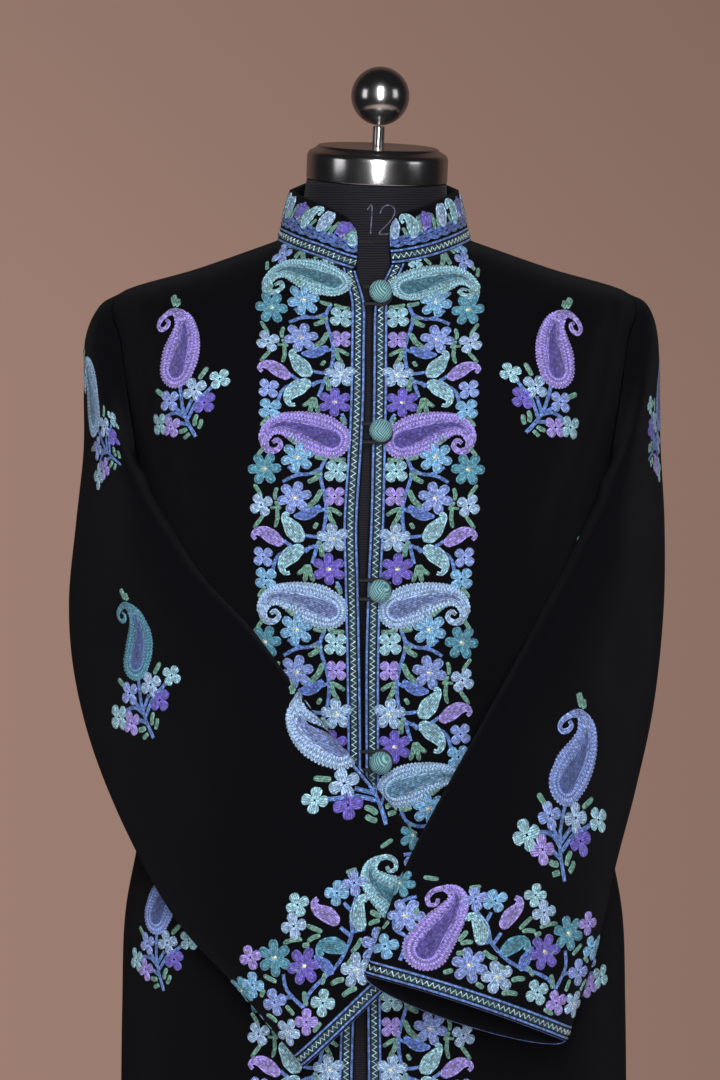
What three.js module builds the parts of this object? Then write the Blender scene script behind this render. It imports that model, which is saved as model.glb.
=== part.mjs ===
// An open-fronted embroidered jacket with a stand collar and ball buttons, worn by a limbless dress form
// on a pole stand. Millimetres, +Z up, the front of the jacket faces -Y. The origin is the centre of the
// stand's underside. Left and right are the wearer's: the left side of the jacket is at +X.
import * as THREE from "three";

// ---- Driving dimensions -----------------------------------------------------------------------------

const CLOTH = 2.0; // wall of the wool with its embroidery ground
const COLLAR_CLOTH = 2.6; // two layers and a stiffener
const SEAM_GAP = 0.3; // between pieces that are sewn together
const LYING_GAP = 3.5; // between a sleeve and the front that it lies on, room for the embroidery
const PIT_GAP = 1; // the same right under the armhole, where there is no embroidery
const PIT_REACH = 50; // and how far down from there the gap widens
const ARMHOLE_GAP = 0.5; // a seam's width with the panels' own shift added
const TANGENT_STEP = 1e-3; // angle step for surface normals, in radians
const HEIGHT_STEP = 0.5; // height step for them

// The jacket's outer surface in horizontal rings. side, front and back are the heights of a ring at the
// side seam, at the centre front and at the centre back. wide is its half width. chest and spine are its
// reach forwards and backwards. square is 2 for an ellipse and more for a fuller ring.
const BODY = [
  { side: 520, front: 520, back: 520, wide: 214, chest: 137, spine: 137, square: 2.1 },
  { side: 700, front: 700, back: 700, wide: 208, chest: 132, spine: 131, square: 2.1 },
  { side: 840, front: 840, back: 840, wide: 205, chest: 129, spine: 127, square: 2.15 },
  { side: 910, front: 910, back: 910, wide: 202, chest: 128, spine: 122, square: 2.2 },
  { side: 970, front: 970, back: 970, wide: 191, chest: 128, spine: 116, square: 2.2 },
  { side: 1030, front: 1030, back: 1030, wide: 182, chest: 130, spine: 110, square: 2.25 },
  { side: 1100, front: 1100, back: 1100, wide: 176, chest: 134, spine: 106, square: 2.3 },
  { side: 1180, front: 1180, back: 1180, wide: 176, chest: 138, spine: 108, square: 2.3 },
  { side: 1240, front: 1239, back: 1240, wide: 181, chest: 138, spine: 112, square: 2.3 },
  { side: 1290, front: 1284, back: 1290, wide: 190, chest: 133, spine: 112, square: 2.3 },
  { side: 1335, front: 1321, back: 1337, wide: 200, chest: 122, spine: 108, square: 2.3 },
  { side: 1375, front: 1350, back: 1376, wide: 205, chest: 112, spine: 101, square: 2.25 },
  { side: 1411, front: 1376, back: 1408, wide: 203, chest: 100, spine: 90, square: 2.15 },
  { side: 1431, front: 1405, back: 1440, wide: 140, chest: 85, spine: 79, square: 2.05 },
  { side: 1453, front: 1435, back: 1470, wide: 77, chest: 71, spine: 67, square: 2.0 },
];
const HEM = BODY[0].side;
const NECKLINE = BODY[BODY.length - 1].side;

// Soft troughs in the skirt: around is the ring angle in degrees from the centre front towards the
// wearer's left, reach is the half width in degrees, deep is the depth at the hem and top is where it dies.
const SKIRT_FOLDS = [
  { around: 48, reach: 13, deep: 7, top: 930 },
  { around: 78, reach: 10, deep: 5, top: 800 },
  { around: 118, reach: 14, deep: 8, top: 960 },
  { around: 152, reach: 12, deep: 6, top: 880 },
  { around: 201, reach: 15, deep: 8, top: 990 },
  { around: 240, reach: 12, deep: 6, top: 860 },
  { around: 287, reach: 11, deep: 6, top: 830 },
  { around: 314, reach: 13, deep: 7, top: 920 },
];

// The free edges of the two fronts: how far each stands from the centre plane at each height.
const FRONT_EDGES = [
  { height: 520, right: -17, left: -4 },
  { height: 800, right: -16, left: -6 },
  { height: 900, right: -13, left: -7 },
  { height: 1050, right: -9.4, left: -8 },
  { height: 1140, right: -10.2, left: -8 },
  { height: 1200, right: -11.4, left: -6.2 },
  { height: 1240, right: -12.2, left: -4.4 },
  { height: 1300, right: -8.6, left: -3 },
  { height: 1335, right: -7, left: -2.2 },
  { height: 1380, right: -6.4, left: -1.8 },
  { height: 1403, right: -6.2, left: -1 },
  { height: 1412, right: -7, left: 1.6 },
  { height: 1421, right: -9.4, left: 5.2 },
  { height: 1435, right: -14, left: 12.6 },
];
const NECK_SAG = 6; // the right end of the neckline hangs this much lower than the left
const NECK_SAG_REACH = 50; // and this far from the centre front the two are level

// The armhole runs round a loop from the shoulder tip down its front to the pit and up its back.
const ARMHOLE = { pit: 1290, tip: 1411, frontDegrees: 14, backDegrees: 20 };

const COLLAR = {
  rise: 40, // stand height at the sides
  wide: 67, // half width of its top edge
  front: 66,
  back: 62,
  frontRise: 38,
  backRise: 40,
  cornerRadius: 15, // rounded front corners
  crowding: 0.035, // how much closer the columns stand near the corners
};

// Each sleeve in sections from the armhole to the cuff. outer and inner are the two edges of the flattened
// tube as seen from the front, depth is where the middle lies from front to back, lean is how much
// further back the outer edge lies than the middle, half is half the thickness from front to back.
// seam is the share of the armhole's own outline that is left in the section.
const LEFT_SLEEVE = [
  { outerX: 203, outerZ: 1411, innerX: 190, innerZ: 1290, depth: 0, lean: 0, half: 46, seam: 1 },
  { outerX: 218, outerZ: 1402, innerX: 191, innerZ: 1283, depth: -3, lean: 8, half: 50, seam: 0.7 },
  { outerX: 227, outerZ: 1377, innerX: 186, innerZ: 1274, depth: -7, lean: 22, half: 54, seam: 0.3 },
  { outerX: 230, outerZ: 1335, innerX: 178, innerZ: 1264, depth: -13, lean: 38, half: 56, seam: 0 },
  { outerX: 232, outerZ: 1284, innerX: 173, innerZ: 1250, depth: -22, lean: 48, half: 58, seam: 0 },
  { outerX: 235, outerZ: 1224, innerX: 160, innerZ: 1227, depth: -34, lean: 52, half: 60, seam: 0 },
  { outerX: 233, outerZ: 1156, innerX: 140, innerZ: 1190, depth: -52, lean: 50, half: 56, seam: 0 },
  { outerX: 223, outerZ: 1085, innerX: 111, innerZ: 1141, depth: -84, lean: 50, half: 46, seam: 0 },
  { outerX: 206, outerZ: 1025, innerX: 80, innerZ: 1090, depth: -120, lean: 46, half: 35, seam: 0 },
  { outerX: 188, outerZ: 974, innerX: 53, innerZ: 1046, depth: -152, lean: 38, half: 28, seam: 0 },
  { outerX: 170, outerZ: 912, innerX: 22, innerZ: 988, depth: -176, lean: 28, half: 24, seam: 0 },
  { outerX: 147, outerZ: 846, innerX: -8, innerZ: 909, depth: -187, lean: 22, half: 22, seam: 0 },
];
const RIGHT_SLEEVE = [
  { outerX: -203, outerZ: 1411, innerX: -190, innerZ: 1290, depth: 0, lean: 0, half: 46, seam: 1 },
  { outerX: -219, outerZ: 1401, innerX: -191, innerZ: 1283, depth: -3, lean: 8, half: 50, seam: 0.7 },
  { outerX: -231, outerZ: 1376, innerX: -186, innerZ: 1275, depth: -7, lean: 22, half: 54, seam: 0.3 },
  { outerX: -234, outerZ: 1334, innerX: -178, innerZ: 1266, depth: -13, lean: 38, half: 56, seam: 0 },
  { outerX: -235, outerZ: 1284, innerX: -172, innerZ: 1254, depth: -22, lean: 50, half: 58, seam: 0 },
  { outerX: -241, outerZ: 1226, innerX: -157, innerZ: 1232, depth: -34, lean: 54, half: 58, seam: 0 },
  { outerX: -246, outerZ: 1164, innerX: -131, innerZ: 1196, depth: -50, lean: 54, half: 53, seam: 0 },
  { outerX: -240, outerZ: 1108, innerX: -96, innerZ: 1161, depth: -76, lean: 54, half: 42, seam: 0 },
  { outerX: -222, outerZ: 1049, innerX: -68, innerZ: 1128, depth: -103, lean: 50, half: 32, seam: 0 },
  { outerX: -190, outerZ: 986, innerX: -40, innerZ: 1092, depth: -132, lean: 38, half: 26, seam: 0 },
  { outerX: -152, outerZ: 929, innerX: -10, innerZ: 1056, depth: -148, lean: 22, half: 23, seam: 0 },
  { outerX: -104, outerZ: 880, innerX: 30, innerZ: 1006, depth: -154, lean: 8, half: 21, seam: 0 },
  { outerX: -55, outerZ: 823, innerX: 70, innerZ: 946, depth: -153, lean: -2, half: 20, seam: 0 },
];

// Creases across the sleeves: along is the station in the table above, around is the angle in the section
// from the outer edge towards the front, span and reach are the half sizes along and around.
const SLEEVE_CREASES = [
  { along: 5.2, around: 120, span: 0.8, reach: 34, deep: 4 },
  { along: 6.6, around: 70, span: 0.7, reach: 30, deep: 5 },
  { along: 7.6, around: 105, span: 0.6, reach: 36, deep: 4 },
  { along: 8.8, around: 60, span: 0.8, reach: 26, deep: 3 },
  { along: 4.2, around: 300, span: 0.9, reach: 30, deep: 4 },
];

const CUFF_SLANT = 12; // the underside of each cuff reaches this much further than its top

const BUTTON_RADIUS = 8.8;
const BUTTONS = [
  { x: 4.6, height: 1411 },
  { x: 4.6, height: 1308 },
  { x: 3.6, height: 1190 },
  { x: 4.6, height: 1057 },
];
const LOOP = { cord: 1.5, radius: 8, wrap: 115, halfSides: 3, steps: 14 };

// The dress form, in rings like the jacket's, well inside its cloth.
const FORM = [
  { side: 700, front: 700, back: 700, wide: 152, chest: 100, spine: 100, square: 2.1 },
  { side: 760, front: 760, back: 760, wide: 170, chest: 110, spine: 110, square: 2.1 },
  { side: 860, front: 860, back: 860, wide: 176, chest: 112, spine: 112, square: 2.1 },
  { side: 950, front: 950, back: 950, wide: 162, chest: 106, spine: 102, square: 2.1 },
  { side: 1050, front: 1050, back: 1050, wide: 130, chest: 92, spine: 82, square: 2.1 },
  { side: 1120, front: 1120, back: 1120, wide: 134, chest: 98, spine: 84, square: 2.15 },
  { side: 1200, front: 1200, back: 1200, wide: 156, chest: 120, spine: 94, square: 2.2 },
  { side: 1250, front: 1248, back: 1250, wide: 166, chest: 128, spine: 100, square: 2.2 },
  { side: 1300, front: 1290, back: 1300, wide: 172, chest: 121, spine: 100, square: 2.2 },
  { side: 1350, front: 1330, back: 1352, wide: 182, chest: 107, spine: 94, square: 2.2 },
  { side: 1398, front: 1366, back: 1396, wide: 190, chest: 90, spine: 80, square: 2.1 },
  { side: 1421, front: 1394, back: 1430, wide: 138, chest: 76, spine: 67, square: 2.0 },
  { side: 1444, front: 1425, back: 1460, wide: 70, chest: 62, spine: 54, square: 2.0 },
  { side: 1470, front: 1458, back: 1478, wide: 59, chest: 57, spine: 53, square: 2.0 },
];
const NECK = { x: 2, y: -4, height: 1500, radius: 55.5, forward: 5, sideways: 2.4 }; // tilts in degrees

// The turned metal parts, as radius and height pairs from the axis out and back.
const CAP_PROFILE = [
  [0, 0.3],
  [55, 0.3],
  [56, 1.3],
  [56, 19],
  [54.8, 22],
  [52, 23.6],
  [48.6, 25.6],
  [47.4, 27.4],
  [0, 27.4],
];
const STUD = { radius: 4.6, depth: 0.7, pitch: 1.6, turns: 10, foot: 27.7 };
const BALL_RADIUS = 23;
const POLE_RADIUS = 16;
const BASE = { radius: 205, edge: 6, height: 16, socket: 24, socketHeight: 60 };

// How finely each piece is cut.
const FRONT_COLUMNS = 12;
const BACK_COLUMNS = 18;
const ROWS_BELOW_ARMHOLE = 15;
const ARMHOLE_ROWS = 10;
const ROWS_ABOVE_ARMHOLE = 4;
const SHOULDER_STEP = 0.5; // sleeve rings this far apart, in stations, as far as the third one
const SLEEVE_RINGS_BELOW = 16;
const COLLAR_COLUMNS = 28;
const COLLAR_ROWS = 4;
const TORSO_COLUMNS = 26;
const ROUND = { cap: 36, stud: 12, base: 40, pole: 20, ball: [24, 16], button: [14, 10] };

// ---- Rings and panels -------------------------------------------------------------------------------

const radians = THREE.MathUtils.degToRad;
const clamp = THREE.MathUtils.clamp;
const smooth = (t) => THREE.MathUtils.smoothstep(t, 0, 1);

// One column of a table at a given value of its key column, through all its rows on a smooth curve.
function columnAt(table, key, column, at) {
  const last = table.length - 1;
  const x = clamp(at, table[0][key], table[last][key]);
  let i = 0;
  while (i < last - 1 && x > table[i + 1][key]) i++;
  const slope = (k) => {
    const a = table[Math.max(k - 1, 0)];
    const b = table[Math.min(k + 1, last)];
    return (b[column] - a[column]) / (b[key] - a[key]);
  };
  const width = table[i + 1][key] - table[i][key];
  const t = (x - table[i][key]) / width;
  const t2 = t * t;
  const t3 = t2 * t;
  return (
    (2 * t3 - 3 * t2 + 1) * table[i][column] +
    (t3 - 2 * t2 + t) * width * slope(i) +
    (3 * t2 - 2 * t3) * table[i + 1][column] +
    (t3 - t2) * width * slope(i + 1)
  );
}

// The point of a ring table at an angle from the centre front (towards +X) and a side height.
function ringPoint(table, angle, height) {
  const at = (column) => columnAt(table, "side", column, height);
  const s = Math.sin(angle);
  const c = Math.cos(angle);
  const square = at("square");
  const reach = Math.pow(Math.max(1 - Math.pow(Math.abs(s), square), 0), 1 / square);
  const y = c > 0 ? -at("chest") * reach : at("spine") * reach;
  const z = height + ((c > 0 ? at("front") : at("back")) - height) * c * c;
  return new THREE.Vector3(at("wide") * s, y, z);
}

// How far the skirt's troughs pull the cloth inwards at an angle and a height.
function skirtFold(angle, height) {
  const degrees = ((angle * 180) / Math.PI + 720) % 360;
  let deep = 0;
  for (const fold of SKIRT_FOLDS) {
    const off = Math.abs(((degrees - fold.around + 540) % 360) - 180) / fold.reach;
    if (off < 1 && height < fold.top) {
      const fade = (fold.top - height) / (fold.top - HEM);
      deep += fold.deep * fade * Math.pow(Math.cos((off * Math.PI) / 2), 2);
    }
  }
  return deep;
}

// The jacket's outer surface.
function bodyPoint(angle, height) {
  const p = ringPoint(BODY, angle, height);
  const inwards = skirtFold(angle, height) / Math.hypot(p.x, p.y);
  p.x -= p.x * inwards;
  p.y -= p.y * inwards;
  const above = smooth((height - ARMHOLE.tip) / (NECKLINE - ARMHOLE.tip));
  const near = clamp(1 - Math.abs(p.x) / NECK_SAG_REACH, 0, 1);
  if (p.x < 0 && p.y < 0) p.z -= NECK_SAG * above * smooth(near);
  return p;
}

const edgeOf = (side, height) => columnAt(FRONT_EDGES, "height", side, height);

// The ring angle of a front's free edge at a side height.
function edgeAngle(side, height) {
  const centreHeight = columnAt(BODY, "side", "front", height);
  return Math.asin(edgeOf(side, centreHeight) / columnAt(BODY, "side", "wide", height));
}

// The armhole loop: turn is 0 at the shoulder tip, a quarter turn at its front, half a turn at the pit.
const armholeHeight = (turn) =>
  (ARMHOLE.pit + ARMHOLE.tip) / 2 + ((ARMHOLE.tip - ARMHOLE.pit) / 2) * Math.cos(turn);
const armholeAngle = (turn) =>
  radians(Math.sin(turn) > 0 ? ARMHOLE.frontDegrees : ARMHOLE.backDegrees) * Math.sin(turn);

// Side heights of the rows that all body panels share, with the armhole's own rows among them.
function panelRows() {
  const rows = [];
  const share = (from, to, i, count) => from + ((to - from) * i) / count;
  for (let i = 0; i < ROWS_BELOW_ARMHOLE; i++)
    rows.push({ height: share(HEM, ARMHOLE.pit, i, ROWS_BELOW_ARMHOLE), turn: 0 });
  for (let i = ARMHOLE_ROWS; i >= 0; i--) {
    const turn = (Math.PI * i) / ARMHOLE_ROWS;
    rows.push({ height: armholeHeight(turn), turn });
  }
  for (let i = 1; i <= ROWS_ABOVE_ARMHOLE; i++)
    rows.push({ height: share(ARMHOLE.tip, NECKLINE, i, ROWS_ABOVE_ARMHOLE), turn: 0 });
  return rows;
}

// ---- Solids from grids ------------------------------------------------------------------------------

// Turns a list of corner triples into a mesh geometry.
function geometryOf(points, faces) {
  const geometry = new THREE.BufferGeometry();
  geometry.setAttribute("position", new THREE.Float32BufferAttribute(points.flatMap((p) => p.toArray()), 3));
  geometry.setIndex(faces.flat());
  geometry.computeVertexNormals();
  return geometry;
}

// A wall of cloth between an outer and an inner grid of points with the same rows and columns. A ring
// wall closes on itself round each row, and an open one gets side faces too. The rows run so that
// columns to the right and rows upwards, seen from outside, face outwards.
function wallGeometry(outer, inner, closed) {
  const rows = outer.length;
  const columns = outer[0].length;
  const points = [...outer.flat(), ...inner.flat()];
  const faces = [];
  const at = (r, c) => r * columns + (c % columns);
  const skin = rows * columns;
  const apart = (a, b) => points[a].distanceTo(points[b]);
  const quad = (a, b, c, d) => {
    if (apart(a, c) <= apart(b, d)) faces.push([a, b, c], [a, c, d]);
    else faces.push([a, b, d], [b, c, d]);
  };
  const across = closed ? columns : columns - 1;
  for (let r = 0; r < rows - 1; r++)
    for (let c = 0; c < across; c++) {
      quad(at(r, c), at(r, c + 1), at(r + 1, c + 1), at(r + 1, c));
      quad(skin + at(r + 1, c), skin + at(r + 1, c + 1), skin + at(r, c + 1), skin + at(r, c));
    }
  for (let c = 0; c < across; c++) {
    quad(at(0, c + 1), at(0, c), skin + at(0, c), skin + at(0, c + 1));
    quad(at(rows - 1, c), at(rows - 1, c + 1), skin + at(rows - 1, c + 1), skin + at(rows - 1, c));
  }
  if (!closed)
    for (let r = 0; r < rows - 1; r++) {
      const end = columns - 1;
      quad(at(r, 0), at(r + 1, 0), skin + at(r + 1, 0), skin + at(r, 0));
      quad(at(r + 1, end), at(r, end), skin + at(r, end), skin + at(r + 1, end));
    }
  return geometryOf(points, faces);
}

// A closed solid through rings, with a flat fan over each end.
function loftGeometry(rings) {
  const around = rings[0].length;
  const middle = (ring) => ring.reduce((sum, p) => sum.add(p), new THREE.Vector3()).divideScalar(around);
  const points = [...rings.flat(), middle(rings[0]), middle(rings[rings.length - 1])];
  const at = (r, c) => r * around + (c % around);
  const foot = rings.length * around;
  const faces = [];
  for (let c = 0; c < around; c++) {
    for (let r = 0; r < rings.length - 1; r++)
      faces.push([at(r, c), at(r, c + 1), at(r + 1, c + 1)], [at(r, c), at(r + 1, c + 1), at(r + 1, c)]);
    faces.push([foot, at(0, c + 1), at(0, c)]);
    faces.push([foot + 1, at(rings.length - 1, c), at(rings.length - 1, c + 1)]);
  }
  return geometryOf(points, faces);
}

// The outward normal of a surface at (a, b), where a runs to the right and b upwards seen from outside.
function normalAt(surface, a, b, stepA, stepB) {
  const right = surface(a + stepA, b).sub(surface(a - stepA, b));
  const up = surface(a, b + stepB).sub(surface(a, b - stepB));
  return right.cross(up).normalize();
}

// ---- Materials --------------------------------------------------------------------------------------

const wool = new THREE.MeshStandardMaterial({ color: 0x121216, roughness: 0.92, metalness: 0 });
const embroideredWool = new THREE.MeshStandardMaterial({ color: 0x3f5f96, roughness: 0.8, metalness: 0 });
const silkThread = new THREE.MeshStandardMaterial({ color: 0x4b8a94, roughness: 0.6, metalness: 0 });
const formCloth = new THREE.MeshStandardMaterial({ color: 0x1b1b20, roughness: 0.85, metalness: 0 });
const chrome = new THREE.MeshStandardMaterial({ color: 0xc8c8cc, roughness: 0.12, metalness: 1 });
const castIron = new THREE.MeshStandardMaterial({ color: 0x17171a, roughness: 0.5, metalness: 0.6 });

function named(name, geometry, material) {
  const mesh = new THREE.Mesh(geometry, material);
  mesh.name = name;
  return mesh;
}

// ---- Jacket -----------------------------------------------------------------------------------------

function bodyNormal(angle, height) {
  const within = clamp(height, HEM + HEIGHT_STEP, NECKLINE - HEIGHT_STEP);
  return normalAt(bodyPoint, angle, within, TANGENT_STEP, HEIGHT_STEP);
}

// A body panel in the shared rows. spread(row) gives its two edges' ring angles at the side seams or the
// centre front, and how far the armhole cuts in from each. shift moves the panel off its neighbour.
function bodyPanel(name, columns, spread, shift) {
  const outer = [];
  const inner = [];
  for (const row of panelRows()) {
    const { from, to, cutFrom, cutTo } = spread(row);
    const outerRow = [];
    const innerRow = [];
    for (let c = 0; c <= columns; c++) {
      const t = c / columns;
      const angle = from + (to - from) * t + cutFrom * Math.pow(1 - t, 3) - cutTo * Math.pow(t, 3);
      const normal = bodyNormal(angle, row.height);
      const p = bodyPoint(angle, row.height).add(shift);
      outerRow.push(p);
      innerRow.push(p.clone().addScaledVector(normal, -CLOTH));
    }
    outer.push(outerRow);
    inner.push(innerRow);
  }
  return named(name, wallGeometry(outer, inner, false), wool);
}

const SIDE = Math.PI / 2;

function frontLeft({ height, turn }) {
  return { from: edgeAngle("left", height), to: SIDE, cutFrom: 0, cutTo: armholeAngle(turn) };
}

function frontRight({ height, turn }) {
  return { from: -SIDE, to: edgeAngle("right", height), cutFrom: armholeAngle(turn), cutTo: 0 };
}

function backWhole({ turn }) {
  const cut = -armholeAngle(2 * Math.PI - turn);
  return { from: SIDE, to: 3 * SIDE, cutFrom: cut, cutTo: cut };
}

function bodyPanels() {
  const forwards = new THREE.Vector3(0, -SEAM_GAP / 2, 0);
  const backwards = new THREE.Vector3(0, SEAM_GAP / 2, 0);
  return [
    bodyPanel("front_left", FRONT_COLUMNS, frontLeft, forwards),
    bodyPanel("front_right", FRONT_COLUMNS, frontRight, forwards),
    bodyPanel("back", BACK_COLUMNS, backWhole, backwards),
  ];
}

// A sleeve section's point: turn runs from the outer edge over the front to the inner edge.
function sectionPoint(table, along, turn) {
  const at = (column) => columnAt(table, "station", column, along);
  const middleX = (at("outerX") + at("innerX")) / 2;
  const middleZ = (at("outerZ") + at("innerZ")) / 2;
  const c = Math.cos(turn);
  return new THREE.Vector3(
    middleX + ((at("outerX") - at("innerX")) / 2) * c,
    at("depth") + at("lean") * c - at("half") * Math.sin(turn),
    middleZ + ((at("outerZ") - at("innerZ")) / 2) * c,
  );
}

// Where the sleeve is sewn on, a seam's width off the panels' edge.
function armholePoint(sign, turn) {
  const height = armholeHeight(turn);
  const angle = SIDE - armholeAngle(turn);
  const p = bodyPoint(sign * angle, height);
  const inwards = new THREE.Vector3(0, Math.sin(turn), -Math.cos(turn));
  const outwards = bodyNormal(sign * angle, height);
  return p.addScaledVector(inwards, ARMHOLE_GAP).addScaledVector(outwards, ARMHOLE_GAP);
}

function creaseDepth(along, turn) {
  const degrees = ((turn * 180) / Math.PI + 720) % 360;
  let deep = 0;
  for (const crease of SLEEVE_CREASES) {
    const a = (along - crease.along) / crease.span;
    const b = (((degrees - crease.around + 540) % 360) - 180) / crease.reach;
    const off = Math.hypot(a, b);
    if (off < 1) deep += crease.deep * Math.pow(Math.cos((off * Math.PI) / 2), 2);
  }
  return deep;
}

// Moves a point of a sleeve away from the jacket's axis until it clears the jacket's body.
function clearOfBody(p) {
  if (p.z > ARMHOLE.pit - 2) return p;
  const gap = PIT_GAP + (LYING_GAP - PIT_GAP) * smooth((ARMHOLE.pit - p.z) / PIT_REACH);
  const wide = columnAt(BODY, "side", "wide", p.z) + gap;
  const chest = columnAt(BODY, "side", p.y < 0 ? "chest" : "spine", p.z) + gap;
  const square = columnAt(BODY, "side", "square", p.z);
  const inside = Math.pow(Math.abs(p.x) / wide, square) + Math.pow(Math.abs(p.y) / chest, square);
  const outwards = Math.max(Math.pow(inside, -1 / square), 1);
  p.x *= outwards;
  p.y *= outwards;
  return p;
}

function sleeveSurface(table, sign) {
  return (turn, along) => {
    const p = sectionPoint(table, along, turn);
    const seam = columnAt(table, "station", "seam", along);
    if (seam > 0) {
      const own = sectionPoint(table, 0, turn);
      p.addScaledVector(armholePoint(sign, turn).sub(own), seam);
    }
    const middle = sectionPoint(table, along, 0).add(sectionPoint(table, along, Math.PI)).multiplyScalar(0.5);
    const inwards = middle.clone().sub(p);
    p.addScaledVector(inwards.normalize(), creaseDepth(along, turn));
    const last = table.length - 1;
    const down = sectionPoint(table, last, 0).sub(sectionPoint(table, last - 1, 0)).normalize();
    p.addScaledVector(down, CUFF_SLANT * Math.max(-Math.sin(turn), 0) * smooth(along - last + 1));
    return along > 0.5 ? clearOfBody(p) : p;
  };
}

// Stations of the sleeve rings, closer together over the shoulder.
function sleeveRings(last) {
  const rings = [];
  for (let station = 0; station < 2; station += SHOULDER_STEP) rings.push(station);
  for (let i = 0; i <= SLEEVE_RINGS_BELOW; i++) rings.push(2 + ((last - 2) * i) / SLEEVE_RINGS_BELOW);
  return rings;
}

function sleeve(name, sections, sign) {
  const table = sections.map((section, station) => ({ ...section, station }));
  const surface = sleeveSurface(table, sign);
  const around = 2 * ARMHOLE_ROWS;
  const last = table.length - 1;
  const turnStep = radians(1);
  const stationStep = 0.02;
  const outer = [];
  const inner = [];
  for (const along of sleeveRings(last)) {
    const outerRow = [];
    const innerRow = [];
    for (let c = 0; c < around; c++) {
      const turn = (2 * Math.PI * c) / around;
      const within = clamp(along, stationStep, last - stationStep);
      const normal = normalAt(surface, turn, within, turnStep, stationStep).multiplyScalar(sign);
      const p = surface(turn, along);
      outerRow.push(p);
      innerRow.push(p.clone().addScaledVector(normal, -CLOTH));
    }
    // On the left arm the section runs the other way round.
    outer.push(sign > 0 ? outerRow.reverse() : outerRow);
    inner.push(sign > 0 ? innerRow.reverse() : innerRow);
  }
  return named(name, wallGeometry(outer.reverse(), inner.reverse(), true), wool);
}

// The collar's outer surface: angle runs round the neck and rise from 0 at the seam to 1 at the top.
function collarPoint(angle, rise) {
  const foot = bodyPoint(angle, NECKLINE);
  foot.z += SEAM_GAP;
  const s = Math.sin(angle);
  const c = Math.cos(angle);
  const tall = COLLAR.rise + ((c > 0 ? COLLAR.frontRise : COLLAR.backRise) - COLLAR.rise) * c * c;
  const top = new THREE.Vector3(COLLAR.wide * s, -(c > 0 ? COLLAR.front : COLLAR.back) * c, foot.z + tall);
  return foot.lerp(top, rise);
}

function collar() {
  const columns = COLLAR_COLUMNS;
  const rows = COLLAR_ROWS;
  const from = edgeAngle("left", NECKLINE);
  const to = edgeAngle("right", NECKLINE) + 2 * Math.PI;
  const outer = [];
  const inner = [];
  for (let r = 0; r <= rows; r++) {
    const outerRow = [];
    const innerRow = [];
    for (let c = 0; c <= columns; c++) {
      const spread = c / columns;
      const angle = from + (to - from) * (spread - Math.sin(4 * Math.PI * spread) * COLLAR.crowding);
      const fromEnd = Math.min(angle - from, to - angle) * COLLAR.wide;
      const short = Math.max(COLLAR.cornerRadius - fromEnd, 0);
      const drop = COLLAR.cornerRadius - Math.sqrt(COLLAR.cornerRadius ** 2 - short ** 2);
      const rise = (r / rows) * (1 - drop / COLLAR.rise);
      const normal = normalAt(collarPoint, angle, rise, TANGENT_STEP, 0.01);
      const p = collarPoint(angle, rise);
      outerRow.push(p);
      innerRow.push(p.clone().addScaledVector(normal, -COLLAR_CLOTH));
    }
    outer.push(outerRow);
    inner.push(innerRow);
  }
  return named("collar", wallGeometry(outer, inner, false), embroideredWool);
}

// The jacket's front surface at a distance from the centre plane and a height there.
function frontSurface(x, height) {
  let side = height;
  for (let i = 0; i < 20; i++) {
    const angle = Math.asin(x / columnAt(BODY, "side", "wide", side));
    side += height - bodyPoint(angle, side).z;
  }
  const angle = Math.asin(x / columnAt(BODY, "side", "wide", side));
  return { p: bodyPoint(angle, side), normal: bodyNormal(angle, side) };
}

function buttonAndLoop(number, { x, height }) {
  const { p, normal } = frontSurface(x, height);
  const ball = new THREE.SphereGeometry(BUTTON_RADIUS, ...ROUND.button);
  const button = named(`button_${number}`, ball, silkThread);
  button.position.copy(p).addScaledVector(normal, BUTTON_RADIUS + 2 * SEAM_GAP);

  // The loop leaves the right front's edge, goes round the button's foot and comes back.
  const right = new THREE.Vector3(1, 0, 0).addScaledVector(normal, -normal.x).normalize();
  const up = normal.clone().cross(right);
  const lift = LOOP.cord + 2 * SEAM_GAP;
  const edge = edgeOf("right", height) - x - LOOP.cord;
  const path = [];
  const place = (a, b) =>
    p.clone().addScaledVector(normal, lift).addScaledVector(right, a).addScaledVector(up, b);
  const apart = LOOP.radius * Math.sin(radians(LOOP.wrap));
  path.push(place(edge, apart));
  for (let i = 4; i >= -4; i--) {
    const turn = radians((LOOP.wrap * i) / 4);
    path.push(place(LOOP.radius * Math.cos(turn), LOOP.radius * Math.sin(turn)));
  }
  path.push(place(edge, -apart));
  const section = new THREE.Shape().absarc(0, 0, LOOP.cord, 0, 2 * Math.PI);
  const cord = new THREE.ExtrudeGeometry(section, {
    extrudePath: new THREE.CatmullRomCurve3(path),
    steps: LOOP.steps,
    curveSegments: LOOP.halfSides,
  });
  return [button, named(`button_loop_${number}`, cord, wool)];
}

// ---- Dress form -------------------------------------------------------------------------------------

function lathed(name, profile, material, segments) {
  const points = profile.map(([radius, height]) => new THREE.Vector2(radius, height));
  const mesh = named(name, new THREE.LatheGeometry(points, segments), material);
  mesh.rotation.x = Math.PI / 2;
  return mesh;
}

function torso() {
  const round = (point) => {
    const ring = [];
    for (let c = 0; c < TORSO_COLUMNS; c++) ring.push(point((2 * Math.PI * c) / TORSO_COLUMNS));
    return ring;
  };
  const rings = [];
  FORM.forEach((row, i) => {
    const next = FORM[i + 1];
    rings.push(round((angle) => ringPoint(FORM, angle, row.side)));
    if (next) rings.push(round((angle) => ringPoint(FORM, angle, (row.side + next.side) / 2)));
  });
  const neckTop = (angle) =>
    new THREE.Vector3(NECK.radius * Math.sin(angle), -NECK.radius * Math.cos(angle), 0);
  rings.push(round((angle) => neckTop(angle).applyMatrix4(neckFrame())));
  return named("form_torso", loftGeometry(rings), formCloth);
}

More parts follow.
